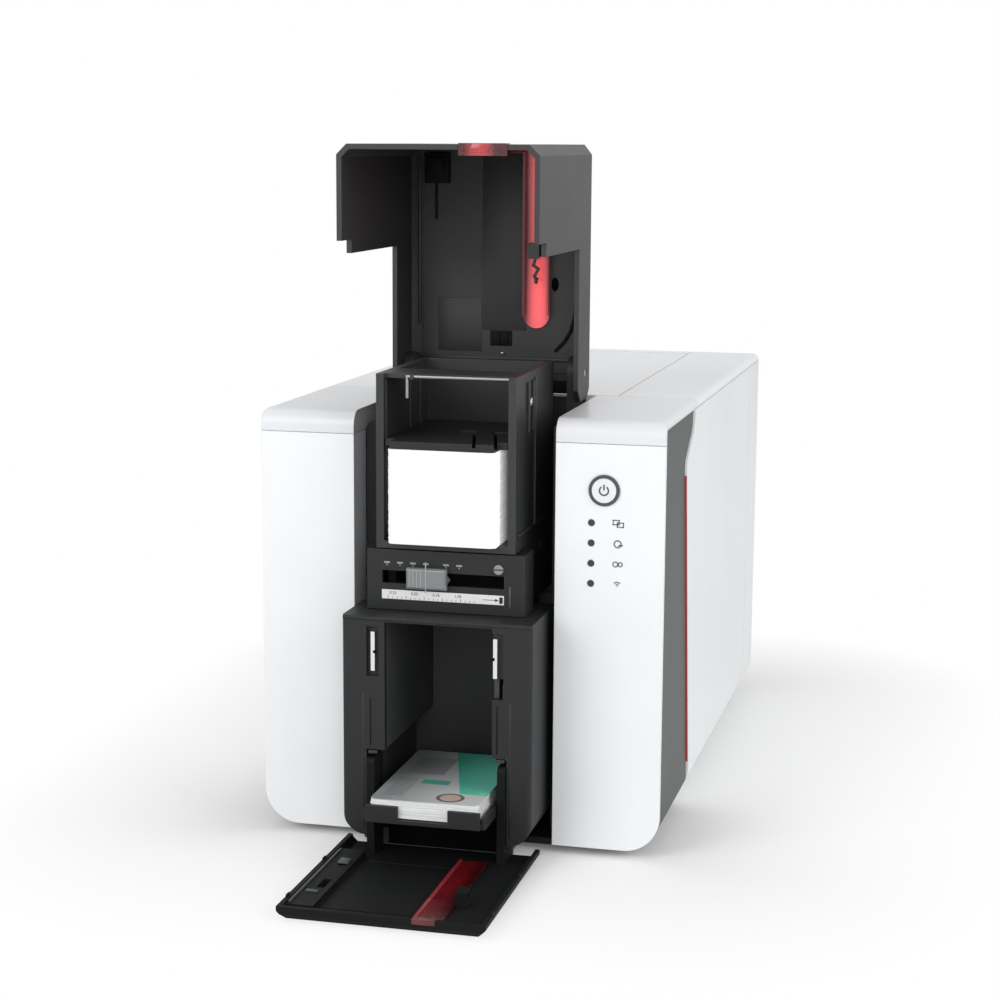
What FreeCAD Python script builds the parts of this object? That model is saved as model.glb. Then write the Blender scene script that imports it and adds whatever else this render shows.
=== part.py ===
import FreeCAD, Part
import math
import os
import re

import Sketcher

# Desktop id card printer, shown with its feeder hood and its output door open.
# World frame: Z up from the table, X to the right, Y to the rear, millimetres.
# Places are given in the front frame: Y from the white front face, Z from the white body's lower edge.

SIZES = {
    # body
    "cover_room": 16.5,
    "rear_room": 50.0,
    "foot_height": 4.0,
    "foot_radius": 9.0,
    "foot_inset": 22.0,
    "left_panel_width": 48.4,
    "tower_width": 54.0,
    "shell_wall": 2.5,
    "corner_round": 18.0,
    "side_round": 4.0,
    "front_round": 8.0,
    "panel_seam": 0.6,
    "running_gap": 0.3,
    "bay_gap": 2.05,
    "overrun": 1.0,
    # front panels and caps
    "panel_return": 20.0,
    "cap_drop": 11.5,
    "cap_seam": 0.2,
    "rim_drop": 4.0,
    "cap_lap": 2.0,
    "rail_width": 42.5,
    # base
    "base_edge": 18.5,
    "base_front": 4.0,
    "base_sink": 1.3,
    "base_top": 2.0,
    # side strip outline
    "strip_foot": 91.4,
    "strip_waist": 63.5,
    "strip_waist_drop": 24.5,
    "strip_shoulder": 88.5,
    "strip_shoulder_drop": 8.5,
    "strip_bend": 9.0,
    "strip_recess": 1.0,
    "accent_width": 0.9,
    "accent_low": 22.0,
    "accent_drop": 24.0,
    # rear
    "rear_return": 41.0,
    "cover_axis_back": 17.0,
    "cover_roll": 5.0,
    "cover_ear_width": 8.0,
    "cover_ear_inset": 24.0,
    "cover_pin_radius": 1.5,
    "shaft_clearance": 0.05,
    # liner of the front bay
    "liner_wall": 5.3,
    "liner_drop": 6.8,
    "liner_rise": 19.5,
    "liner_back_wall": 2.5,
    "liner_round": 5.0,
    "pad_height": 27.7,
    "pad_reach": 14.5,
    "ear_wall": 5.3,
    "ear_round": 8.5,
    "card_slot_height": 8.0,
    "exit_slot_drop": 22.6,
    # hood, standing open
    "hood_lap": 1.55,
    "hood_wall": 2.5,
    "hinge_back": 12.0,
    "hinge_drop": 6.8,
    "hood_rise": 14.5,
    "hood_tail": 13.5,
    "hood_tail_cut": 10.0,
    "hood_cheek": 18.5,
    "hood_cheek_cut": 6.0,
    "hood_skirt": 64.5,
    "hood_skirt_step": 6.5,
    "hood_step_length": 15.0,
    "hood_bevel": 5.0,
    "hood_pin_radius": 2.5,
    "front_step": 6.5,
    "hood_gap": 0.5,
    # red level windows
    "window_left": 14.8,
    "window_width": 11.0,
    "window_flange": 1.5,
    "window_flange_wall": 1.4,
    "window_rib": 4.2,
    "window_rib_wall": 1.2,
    "window_margin": 5.0,
    "hood_window_rise": 21.5,
    "tab_lead": 4.6,
    "tab_width": 23.4,
    "tab_depth": 5.9,
    "tab_drop": 5.2,
    "tab_proud": 0.6,
    "hood_clip_width": 6.0,
    "hood_clip_height": 8.0,
    "hood_clip_depth": 7.0,
    "hood_clip_rise": 58.0,
    # output box
    "box_side": 12.3,
    "box_reach": 31.5,
    "box_back": 19.7,
    "box_low": 8.0,
    "box_top": 118.6,
    "box_wall": 2.5,
    "box_face_wall": 4.0,
    "box_corner": 12.0,
    "box_edge": 2.0,
    "opening_left_inset": 9.3,
    "opening_right_inset": 7.3,
    "opening_low": 52.0,
    "arm_room": 4.8,
    "bay_open_back": 4.0,
    "keeper_width": 2.0,
    "keeper_height": 19.5,
    "keeper_drop": 27.1,
    "keeper_depth": 2.3,
    "keeper_slot_width": 6.5,
    "keeper_slot_height": 25.0,
    "keeper_slot_depth": 2.5,
    "keeper_out": 5.0,
    "latch_play": 0.5,
    # inner chute behind the box face
    "chute_wall": 2.5,
    "chute_play": 0.8,
    "chute_back_wall": 2.0,
    "chute_floor": 5.1,
    "chute_floor_wall": 2.0,
    "chute_lead": 16.2,
    "chute_apron_drop": 1.0,
    "runner_half": 22.0,
    "runner_wall": 2.0,
    # output tray and its door link
    "tray_play": 3.6,
    "tray_reach": 54.0,
    "tray_short": 0.6,
    "tray_low": 23.0,
    "tray_wall": 2.0,
    "tray_lip_inset": 2.3,
    "tray_lip_wall": 1.8,
    "tray_lip_height": 8.4,
    "tray_notch_half": 12.5,
    "tray_rail_height": 5.5,
    "tray_travel": 24.0,
    # cards
    "card_width": 54.0,
    "card_length": 85.6,
    "card_thick": 0.76,
    "card_round": 3.18,
    "blank_count": 61.0,
    "printed_count": 12.0,
    "blank_reach": 24.0,
    # output door, lying open
    "door_axis_z": 14.25,
    "door_drop": 17.25,
    "door_wall": 2.5,
    "door_rim_height": 6.2,
    "door_rim": 2.2,
    "door_bevel": 4.0,
    "door_inner_bevel": 2.5,
    "door_heel": 3.0,
    "door_arm_wall": 3.9,
    "door_arm_gap": 0.4,
    "door_arm_drop": 4.0,
    "door_arm_front": 12.25,
    "door_arm_back": 2.75,
    "door_arm_round": 3.0,
    "door_pin_radius": 2.0,
    "door_rail_width": 13.0,
    "door_rail_height": 2.7,
    "door_rail_near": 38.0,
    "door_rail_far": 118.0,
    "door_rail_slot_width": 4.0,
    "door_rail_slot_length": 12.0,
    "door_window_near": 38.0,
    "door_window_far": 120.0,
    "door_clip_width": 5.2,
    "door_clip_length": 8.0,
    "door_clip_height": 8.0,
    "door_clip_near": 89.0,
    # feeder
    "feeder_side": 4.2,
    "feeder_wall": 3.8,
    "feeder_reach": 15.0,
    "feeder_play": 2.4,
    "feeder_back_wall": 2.5,
    "feeder_height": 85.7,
    "feeder_gap": 0.7,
    "feeder_floor_wall": 3.6,
    "feeder_leg_front": 4.3,
    "gate_height": 2.8,
    "bridge_front": 11.5,
    "bridge_back": 11.0,
    "bridge_wall": 2.3,
    "roller_window_margin": 2.0,
    # bail
    "bail_radius": 0.9,
    "bail_leg": 10.5,
    "bail_inset": 11.3,
    "bail_lug_width": 1.6,
    "bail_lug_margin": 1.4,
    "bail_seat": 2.4,
    # card weight
    "weight_wall": 3.4,
    "weight_inset": 1.0,
    "groove_depth": 1.8,
    "groove_width": 1.8,
    "groove_left": 15.5,
    "groove_right": 26.2,
    "groove_run": 48.0,
    "groove_shift": 12.0,
    "groove_bar": 7.5,
    "groove_bar_width": 7.0,
    # thickness gauge
    "gauge_lap": 4.8,
    "gauge_wall": 3.0,
    "gauge_side_wall": 2.5,
    "gauge_height": 30.3,
    "gauge_slot_left_inset": 7.6,
    "gauge_slot_right_inset": 10.2,
    "gauge_slot_rise": 13.4,
    "gauge_slot_height": 6.5,
    "slider_left": 19.0,
    "slider_width": 20.2,
    "slider_height": 10.4,
    "slider_lap": 1.7,
    "slider_depth": 3.8,
    "slider_stem_width": 8.0,
    "slider_flange": 1.2,
    "slider_edge": 1.0,
    "label_rise": 5.7,
    "label_height": 4.6,
    "label_wall": 0.3,
    "gauge_screw_inset": 12.8,
    "gauge_screw_drop": 7.1,
    # power button and lights, on the tower
    "button_inset": 24.2,
    "button_drop": 22.5,
    "button_radius": 6.0,
    "button_play": 0.1,
    "button_proud": 1.2,
    "button_flange": 0.8,
    "button_flange_wall": 1.0,
    "button_back": 5.3,
    "ring_radius": 7.7,
    "ring_proud": 0.8,
    "ring_sleeve": 7.0,
    "ring_sleeve_depth": 5.0,
    "light_shift": 6.2,
    "light_drop": 16.1,
    "light_spacing": 10.0,
    "light_radius": 1.6,
    "light_proud": 0.3,
    "board_front": 8.5,
    "board_wall": 1.6,
    "board_margin": 8.0,
    "board_boss": 3.0,
    # drive side
    "carrier_room": 5.0,
    "chassis_wall": 2.0,
    "chassis_gap": 3.0,
    "spool_margin": 38.0,
    "plate_margin": 15.0,
    "chassis_window_low": 24.0,
    "chassis_window_high": 120.0,
    "chassis_window_inset": 20.0,
    "chassis_edge": 6.0,
    "shaft_radius": 3.0,
    "bush_wall": 2.5,
    "feed_y": 41.0,
    "feed_radius": 9.0,
    "drive_margin": 19.0,
    "drive_radius": 8.0,
    "platen_run": 95.0,
    "platen_radius": 10.0,
    "path_gap": 0.8,
    "rubber_over": 1.5,
    "pulley_width": 5.4,
    "pulley_stand": 2.3,
    "drive_pulley": 9.0,
    "platen_pulley": 11.0,
    "motor_pulley": 6.0,
    "motor_run": 45.0,
    "motor_z": 60.0,
    "motor_radius": 20.0,
    "motor_length": 34.0,
    "motor_shaft": 2.5,
    "motor_shaft_seat": 6.0,
    "belt_wall": 1.4,
    "belt_gap": 0.15,
    "tie_radius": 4.0,
    "tie_low": 16.0,
    "tie_drop": 10.0,
    "tie_inset": 11.0,
    "tie_margin": 10.0,
    # ribbon
    "spool_rise": 29.0,
    "supply_reach": 47.0,
    "takeup_reach": 47.0,
    "supply_wound": 14.0,
    "takeup_wound": 10.0,
    "spool_flange": 3.0,
    "spool_flange_wall": 2.0,
    "spool_over": 2.0,
    "spool_shaft": 4.0,
    "film_wall": 0.3,
    "film_over": 1.0,
    "film_gap": 0.25,
    "film_flat": 9.0,
    # print head
    "head_over": 2.0,
    "head_length": 16.0,
    "head_rise": 4.5,
    "head_height": 7.5,
    "heater_length": 4.0,
    "heater_gap": 0.35,
    "carrier_over": 2.0,
    "carrier_length": 24.0,
    "carrier_wall": 2.3,
    "carrier_beam": 6.0,
    # electronics
    "standoff_length": 19.6,
    "main_board_low": 20.0,
    "main_board_drop": 28.0,
    "main_board_inset": 19.0,
    "main_board_margin": 4.0,
    "standoff_radius": 3.0,
    "standoff_inset": 8.0,
    "chip_side": 26.0,
    "chip_wall": 2.4,
    "supply_gap": 9.1,
    "supply_edge": 20.5,
    "supply_length": 150.0,
    "supply_high": 60.0,
    "inlet_edge": 12.5,
    "inlet_width": 28.0,
    "inlet_low": 20.0,
    "inlet_height": 22.0,
    "inlet_depth": 24.0,
    "inlet_socket_depth": 15.0,
    "inlet_socket_margin": 3.0,
    "inlet_pin": 2.0,
    "inlet_pin_length": 10.0,
    "rear_inset": 0.2,
    "ports_edge": 32.5,
    "ports_width": 36.0,
    "ports_low": 30.0,
    "ports_height": 15.0,
    "ports_depth": 18.0,
    "port_mouth_depth": 10.0,
    "port_margin": 1.5,
    "vent_count": 9.0,
    "vent_width": 3.0,
    "vent_pitch": 7.0,
    "vent_height": 50.0,
    "vent_drop": 54.5,
    "screw_radius": 2.4,
    "screw_head": 1.0,
    "screw_shank": 1.2,
    "screw_length": 3.0,
    "screw_edge": 14.5,
    "screw_low": 60.0,
    "screw_drop": 24.5,
}

PLAN = {
    "front_reach": "box_reach + front_step",
    "tray_half": "card_width / 2 + tray_play",
    "tray_lip_half": "tray_half - tray_lip_inset",
    "bay_half": "tray_half + arm_room",
    "opening_left": "bay_half - opening_left_inset",
    "opening_right": "bay_half - opening_right_inset",
    "box_half": "bay_half + box_side",
    "hood_half": "box_half + hood_lap",
    "bay_width": "2 * (hood_half + bay_gap)",
    "body_width": "left_panel_width + bay_width + tower_width",
    "half": "body_width / 2",
    "module_x": "(left_panel_width - tower_width) / 2",
    "bay_left": "left_panel_width - half",
    "bay_right": "half - tower_width",
    "feeder_inner": "card_width / 2 + feeder_side",
    "feeder_half": "feeder_inner + feeder_wall",
    "bail_left": "feeder_inner - bail_inset",
    "gauge_half": "feeder_half + gauge_lap",
    "gauge_slot_left": "gauge_half - gauge_slot_left_inset",
    "gauge_slot_right": "gauge_half - gauge_slot_right_inset",
    "gauge_screw_x": "gauge_half - gauge_screw_inset",
    "rubber_half": "card_width / 2 + rubber_over",
    "spool_half": "card_width / 2 + spool_over",
    "film_half": "card_width / 2 + film_over",
    "head_half": "card_width / 2 + head_over",
    "carrier_half": "head_half + carrier_over",
    "chassis_half": "carrier_half + carrier_room",
    "gauge_top": "box_top + gauge_height",
    "gauge_slot_low": "box_top + gauge_slot_rise",
    "slider_low": "gauge_slot_low - slider_lap",
    "label_low": "box_top + label_rise",
    "gauge_screw_z": "gauge_top - gauge_screw_drop",
    "keeper_low": "box_top - keeper_drop",
    "exit_slot_low": "box_top - exit_slot_drop",
    "door_arm_height": "opening_low - door_arm_drop",
    "tray_back": "card_length - tray_reach - tray_short",
    "chute_back": "card_length - tray_reach + button_play + tray_travel + chute_play + chute_back_wall",
    "feeder_floor": "gauge_top + feeder_gap",
    "feeder_top": "feeder_floor + feeder_height",
    "feeder_back": "card_length - blank_reach + feeder_play + feeder_back_wall",
    "card_path": "feeder_floor + feeder_floor_wall + path_gap",
    "spool_z": "card_path + spool_rise",
    "chassis_top": "spool_z + plate_margin",
    "tie_high": "chassis_top - tie_drop",
    "body_height": "chassis_top + cover_room",
    "liner_height": "body_height - liner_drop",
    "pad_low": "liner_height - pad_height",
    "hood_axis_y": "feeder_back + hinge_back",
    "hood_axis_z": "feeder_top - hinge_drop",
    "pad_front": "hood_axis_y - pad_reach",
    "liner_back": "hood_axis_y + liner_rise",
    "cap_reach": "liner_back + cap_lap",
    "chassis_front": "liner_back + chassis_gap",
    "tie_front": "chassis_front + tie_inset",
    "drive_y": "chassis_front + drive_margin",
    "motor_y": "drive_y + motor_run",
    "platen_y": "drive_y + platen_run",
    "takeup_y": "platen_y - takeup_reach",
    "supply_y": "platen_y + supply_reach",
    "chassis_back": "supply_y + spool_margin",
    "tie_back": "chassis_back - tie_margin",
    "body_depth": "chassis_back + rear_room",
    "door_axis_y": "door_drop - front_reach",
    "door_span": "box_top - door_axis_z",
    "front_y": "(door_span - door_axis_y - body_depth) / 2",
    "fascia_top": "body_height - cap_drop",
    "rim_low": "body_height - rim_drop",
    "seam_y": "cap_reach + panel_seam",
    "rear_y": "body_depth - rear_return",
    "base_inset": "half - base_edge",
    "strip_waist_height": "rim_low - strip_waist_drop",
    "strip_shoulder_height": "rim_low - strip_shoulder_drop",
    "accent_high": "fascia_top - accent_drop",
    "cover_right": "half - rail_width",
    "cover_axis_y": "body_depth - cover_axis_back",
    "cover_axis_z": "body_height - cover_roll",
    "hood_back": "hood_axis_y + hood_rise",
    "hood_top": "hood_axis_z + hood_axis_y + front_reach",
    "hood_free": "hood_axis_y - (hood_axis_z - box_top - hood_gap)",
    "hood_foot": "hood_axis_z - hood_tail",
    "hood_inner": "hood_half - hood_wall",
    "hood_window_low": "hood_axis_z + hood_window_rise",
    "hood_clip_low": "hood_axis_z + hood_clip_rise",
    "tab_left": "window_left - tab_lead",
    "cards_low": "feeder_floor + feeder_floor_wall + running_gap",
    "cards_high": "cards_low + blank_count * card_thick",
    "printed_low": "tray_low + tray_wall + running_gap",
    "printed_high": "printed_low + printed_count * card_thick",
    "ear_out": "hood_inner - running_gap",
    "ear_in": "ear_out - ear_wall",
    "liner_half": "bay_width / 2 - running_gap",
    "door_low": "door_axis_z - door_drop",
    "door_tip": "door_axis_y - door_span",
    "door_heel_y": "door_axis_y + door_heel",
    "door_floor": "door_low + door_wall",
    "arm_out": "bay_half - door_arm_gap",
    "arm_in": "arm_out - door_arm_wall",
    "bail_y": "-bridge_front - bail_radius - running_gap",
    "bail_z": "feeder_top - bail_radius - running_gap",
    "button_x": "bay_right + button_inset",
    "button_z": "fascia_top - button_drop",
    "light_x": "button_x - light_shift",
    "light_top": "button_z - light_drop",
    "drive_z": "card_path - drive_radius",
    "cleaning_z": "card_path + path_gap + drive_radius",
    "platen_z": "card_path - platen_radius",
    "feed_z": "feeder_floor + feeder_floor_wall - feed_radius",
    "film_low": "card_path + film_gap",
    "film_rise": "spool_z - film_low",
    "takeup_run": "platen_y - film_flat - takeup_y",
    "supply_run": "supply_y - platen_y - film_flat",
    "takeup_slope": "atan(film_rise / takeup_run) - asin(takeup_wound / hypot(takeup_run; film_rise))",
    "supply_slope": "atan(film_rise / supply_run) - asin(supply_wound / hypot(supply_run; film_rise))",
    "head_low": "card_path + head_rise",
    "head_high": "head_low + head_height",
    "chassis_out": "chassis_half + chassis_wall",
    "main_board_x": "chassis_out + standoff_length - module_x",
    "main_board_high": "chassis_top - main_board_drop",
    "main_board_front": "chassis_front + main_board_inset",
    "main_board_back": "chassis_back - main_board_margin",
    "supply_left": "module_x + chassis_out + pulley_stand + pulley_width + supply_gap",
    "supply_width": "half - supply_edge - supply_left",
    "supply_back": "chassis_back",
    "supply_front": "supply_back - supply_length",
    "inlet_left": "half - inlet_edge - inlet_width",
    "ports_left": "-half + ports_edge",
    "vent_high": "body_height - vent_drop",
    "vent_low": "vent_high - vent_height",
    "screw_inset_x": "half - screw_edge",
    "screw_high": "body_height - screw_drop",
    "box_inner": "box_half - box_wall",
    "shaft_bore": "shaft_radius + shaft_clearance",
}

doc = FreeCAD.newDocument("card_printer")
sheet = doc.addObject("Spreadsheet::Sheet", "Dims")
plan = doc.addObject("Spreadsheet::Sheet", "Plan")
probe = doc.addObject("Spreadsheet::Sheet", "Probe")
pieces = {}


def expand(text):
    """Give each named size in an expression its sheet."""
    def named(match):
        word = match.group(0)
        if word in SIZES:
            return "Dims." + word
        if word in PLAN:
            return "Plan." + word
        return word
    return re.sub(r"[A-Za-z_][A-Za-z_0-9]*", named, str(text))


def fill_sheets():
    """Write the driving sizes as plain numbers and the plan as formulas."""
    for row, (alias, value) in enumerate(SIZES.items(), start=1):
        sheet.set("A%d" % row, alias.replace("_", " "))
        sheet.set("B%d" % row, str(value))
        sheet.setAlias("B%d" % row, alias)
    sheet.recompute()
    for row, (alias, formula) in enumerate(PLAN.items(), start=1):
        plan.set("A%d" % row, alias.replace("_", " "))
        plan.set("B%d" % row, "=" + expand(formula))
        plan.setAlias("B%d" % row, alias)
        plan.recompute()
    doc.recompute()


def number(text):
    """Work out an expression of named sizes through the probe sheet."""
    probe.set("A1", "=" + expand(text))
    probe.recompute()
    return float(probe.get("A1"))


def bind(obj, prop, text):
    obj.setExpression(prop, expand(text))


def place(obj, x, y, z):
    """Put an object at a point of the front frame."""
    bind(obj, "Placement.Base.x", x)
    bind(obj, "Placement.Base.y", "front_y + (%s)" % y)
    bind(obj, "Placement.Base.z", "foot_height + (%s)" % z)


def slab(name, x, y, z):
    """Box between two faces on each axis."""
    obj = doc.addObject("Part::Box", name)
    bind(obj, "Length", "(%s) - (%s)" % (x[1], x[0]))
    bind(obj, "Width", "(%s) - (%s)" % (y[1], y[0]))
    bind(obj, "Height", "(%s) - (%s)" % (z[1], z[0]))
    place(obj, x[0], y[0], z[0])
    return obj


def wide(name, half, y, z):
    """Box that is centred on the module's middle."""
    return slab(name, ("module_x - (%s)" % half, "module_x + (%s)" % half), y, z)


TURNS = {
    "X": FreeCAD.Rotation(FreeCAD.Vector(0, 1, 0), 90),
    "Y": FreeCAD.Rotation(FreeCAD.Vector(1, 0, 0), -90),
    "Z": FreeCAD.Rotation(),
}


def rod(name, radius, length, x, y, z, axis="X"):
    """Cylinder that starts at a point and runs along +axis."""
    obj = doc.addObject("Part::Cylinder", name)
    bind(obj, "Radius", radius)
    bind(obj, "Height", length)
    obj.Placement = FreeCAD.Placement(FreeCAD.Vector(), TURNS[axis])
    place(obj, x, y, z)
    return obj


def cross_rod(name, radius, x, y, z):
    """Cylinder along X between two places."""
    return rod(name, radius, "(%s) - (%s)" % (x[1], x[0]), x[0], y, z)


def fuse(name, parts):
    obj = doc.addObject("Part::MultiFuse", name)
    obj.Shapes = parts
    obj.Refine = True
    return obj


def cut(name, base, *tools):
    obj = doc.addObject("Part::Cut", name)
    obj.Base = base
    obj.Tool = tools[0] if len(tools) == 1 else fuse(name + "_tools", list(tools))
    obj.Refine = True
    return obj


def common(name, base, tool):
    obj = doc.addObject("Part::Common", name)
    obj.Base = base
    obj.Tool = tool
    obj.Refine = True
    return obj


def on_face(edge, box, face):
    """Whether an edge lies on an outer face of a box, such as x+ or z-."""
    tolerance = Part.Vertex(0, 0, 0).Tolerance * 1000
    low, high = {
        "x": (box.XMin, box.XMax), "y": (box.YMin, box.YMax), "z": (box.ZMin, box.ZMax),
    }[face[0]]
    at = high if face[1] == "+" else low
    ends = [getattr(vertex, face[0].upper()) for vertex in edge.Vertexes]
    return all(abs(end - at) < tolerance for end in ends)


def picked_edges(base, corners):
    """Edges of a shape on both outer faces of each corner, with the corner's size."""
    doc.recompute()
    box = base.Shape.BoundBox
    found = []
    for index, edge in enumerate(base.Shape.Edges, start=1):
        for corner, size in corners.items():
            if on_face(edge, box, corner[:2]) and on_face(edge, box, corner[2:]):
                found.append((index, number(size), number(size)))
                break
    return found


def rounded(name, base, corners):
    obj = doc.addObject("Part::Fillet", name)
    obj.Base = base
    obj.Edges = picked_edges(base, corners)
    return obj


def bevelled(name, base, corners):
    obj = doc.addObject("Part::Chamfer", name)
    obj.Base = base
    obj.Edges = picked_edges(base, corners)
    return obj


def plane_of(body, role):
    return [item for item in body.Origin.OriginFeatures if item.Role == role][0]


def outline(body, name, role, points):
    """Closed sketch through named points, each held by two bound distances."""
    sketch = body.newObject("Sketcher::SketchObject", name)
    sketch.AttachmentSupport = [(plane_of(body, role), "")]
    sketch.MapMode = "FlatFace"
    spots = [FreeCAD.Vector(number(x), number(y), 0) for x, y in points]
    count = len(spots)
    for index in range(count):
        sketch.addGeometry(Part.LineSegment(spots[index], spots[(index + 1) % count]), False)
    for index in range(count):
        sketch.addConstraint(Sketcher.Constraint("Coincident", index, 2, (index + 1) % count, 1))
    for index, (x, y) in enumerate(points):
        for kind, axis, text, value in (
            ("DistanceX", -2, x, spots[index].x),
            ("DistanceY", -1, y, spots[index].y),
        ):
            if value == 0:
                sketch.addConstraint(Sketcher.Constraint("PointOnObject", index, 1, axis))
                continue
            place_of = sketch.addConstraint(Sketcher.Constraint(kind, -1, 1, index, 1, value))
            label = "%s_%d" % (kind[-1].lower(), index)
            sketch.renameConstraint(place_of, label)
            bind(sketch, "Constraints." + label, text)
    return sketch


def side_prism(name, points, x):
    """Plate with an outline in Y and Z, between two places on X."""
    body = doc.addObject("PartDesign::Body", name)
    sketch = outline(body, name + "_outline", "YZ_Plane", points)
    pad = body.newObject("PartDesign::Pad", name + "_pad")
    pad.Profile = sketch
    bind(pad, "Length", "(%s) - (%s)" % (x[1], x[0]))
    body.Tip = pad
    place(body, x[0], "0", "0")
    return body


def turned(name, stations, x, y, z):
    """Turned part on an axis along X: stations are pairs of place and radius."""
    body = doc.addObject("PartDesign::Body", name)
    points = [(stations[0][0], "0")] + stations + [(stations[-1][0], "0")]
    sketch = outline(body, name + "_profile", "XY_Plane", points)
    spin = body.newObject("PartDesign::Revolution", name + "_turned")
    spin.Profile = sketch
    spin.ReferenceAxis = (sketch, ["H_Axis"])
    spin.Angle = 360
    body.Tip = spin
    place(body, x, y, z)
    return body


def piece(label, obj):
    """Name an object as one sub-part of the printer."""
    obj.Label = label
    pieces[label] = obj
    return obj


def envelope():
    """Outer and inner forms of the white body, and the shell between them."""
    block = slab("outer_block", ("-half", "half"), ("0", "body_depth"), ("0", "body_height"))
    outer = rounded("outer_form", block, {
        "x-z-": "corner_round", "x+z-": "corner_round", "y+z-": "corner_round",
        "x-z+": "side_round", "x+z+": "side_round",
    })
    hollow = slab(
        "inner_block",
        ("-half + shell_wall", "half - shell_wall"),
        ("-overrun", "body_depth - shell_wall"),
        ("shell_wall", "body_height - shell_wall"),
    )
    inner = rounded("inner_form", hollow, {
        "x-z-": "corner_round - shell_wall", "x+z-": "corner_round - shell_wall",
        "y+z-": "corner_round - shell_wall",
        "x-z+": "side_round - shell_wall", "x+z+": "side_round - shell_wall",
    })
    return outer, cut("shell_form", outer, inner)


def base():
    """Steel pan under the body, and its rubber feet."""
    piece("base_pan", slab(
        "base_plate", ("-base_inset", "base_inset"),
        ("base_front", "body_depth - corner_round"), ("-base_sink", "base_top")))
    feet = []
    for side, x in (("left", "-half + foot_inset + foot_radius"), ("right", "half - foot_inset - foot_radius")):
        for end, y in (("front", "foot_inset"), ("rear", "body_depth - foot_inset - foot_radius")):
            feet.append(rod(
                "foot_%s_%s" % (end, side), "foot_radius", "foot_height - base_sink",
                x, y, "-foot_height", "Z"))
    group = doc.addObject("Part::Compound", "feet_group")
    group.Links = feet
    piece("rubber_feet", group)


def fascias(outer):
    """White front panels either side of the bay."""
    low = "base_top + running_gap"
    left_face = common("left_face", outer, slab(
        "left_face_room", ("-half", "bay_left"), ("0", "shell_wall"), ("0", "fascia_top")))
    left_return = slab(
        "left_return", ("bay_left - shell_wall", "bay_left"), ("shell_wall", "panel_return"),
        (low, "fascia_top"))
    piece("left_fascia", fuse("left_front", [left_face, left_return]))
    right_face = common("right_face", outer, slab(
        "right_face_room", ("bay_right", "half"), ("0", "shell_wall"), ("0", "fascia_top")))
    right_return = slab(
        "right_return", ("bay_right", "bay_right + shell_wall"), ("shell_wall", "panel_return"),
        (low, "fascia_top"))
    bosses = []
    for index, z in enumerate(("button_z + board_margin + board_boss", "light_top - 4 * light_spacing")):
        bosses.append(rod(
            "board_boss_%d" % index, "board_boss", "board_front - shell_wall",
            "button_x + board_margin", "shell_wall", z, "Y"))
    holes = [rod(
        "button_hole", "ring_sleeve + running_gap", "shell_wall + 2 * overrun",
        "button_x", "-overrun", "button_z", "Y")]
    for index in range(4):
        holes.append(rod(
            "light_hole_%d" % index, "light_radius + button_play", "shell_wall + 2 * overrun",
            "light_x", "-overrun", "light_top - %d * light_spacing" % index, "Y"))
    front = fuse("right_front", [right_face, right_return] + bosses)
    piece("right_fascia", cut("right_front_drilled", front, *holes))


def front_caps():
    """Grey caps that close the two front panels at the top."""
    sides = {"left": ("-half", "bay_left", "x-"), "right": ("bay_right", "half", "x+")}
    for side, (low_x, high_x, out) in sides.items():
        block = slab(
            side + "_cap_block", (low_x, high_x), ("0", "cap_reach"),
            ("fascia_top + cap_seam", "body_height"))
        skin = rounded(side + "_cap_skin", block, {"y-z+": "front_round", out + "z+": "side_round"})
        hollow = slab(
            side + "_cap_hollow", (low_x + " + shell_wall", high_x + " - shell_wall"),
            ("shell_wall", "cap_reach + overrun"), ("fascia_top - overrun", "body_height - shell_wall"))
        room = rounded(side + "_cap_room", hollow, {
            "y-z+": "front_round - shell_wall", out + "z+": "side_round - shell_wall"})
        near_x, far_x = (
            (low_x + " - overrun", low_x + " + shell_wall + running_gap") if side == "left"
            else (high_x + " - shell_wall - running_gap", high_x + " + overrun"))
        notch = slab(
            side + "_cap_notch", (near_x, far_x), ("shell_wall", "cap_reach + overrun"),
            ("fascia_top - overrun", "rim_low"))
        piece(side + "_front_cap", cut(side + "_cap", skin, room, notch))


def strip_region(name, shift, front):
    """Room from a front plane to the S-shaped edge of the side strip, moved back by a distance."""
    low = "-overrun"
    points = [
        (front, low),
        ("strip_foot + " + shift, low),
        ("strip_waist + " + shift, "strip_waist_height"),
        ("strip_shoulder + " + shift, "strip_shoulder_height"),
        ("strip_shoulder + " + shift, "rim_low - running_gap"),
        (front, "rim_low - running_gap"),
    ]
    prism = side_prism(name, points, ("-half - overrun", "half + overrun"))
    doc.recompute()
    bends = []
    front_y = number("front_y")
    rise = number("foot_height")
    waist = (number("strip_waist + " + shift) + front_y, number("strip_waist_height") + rise)
    shoulder = (number("strip_shoulder + " + shift) + front_y, number("strip_shoulder_height") + rise)
    for index, edge in enumerate(prism.Shape.Edges, start=1):
        if abs(edge.Length - number("2 * half + 2 * overrun")) > number("card_thick"):
            continue
        spot = edge.Vertexes[0].Point
        off = min(math.dist((spot.y, spot.z), waist), math.dist((spot.y, spot.z), shoulder))
        if off < number("card_thick"):
            bends.append((index, number("strip_bend"), number("strip_bend")))
    bent = doc.addObject("Part::Fillet", name + "_bent")
    bent.Base = prism
    bent.Edges = bends
    return bent


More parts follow.
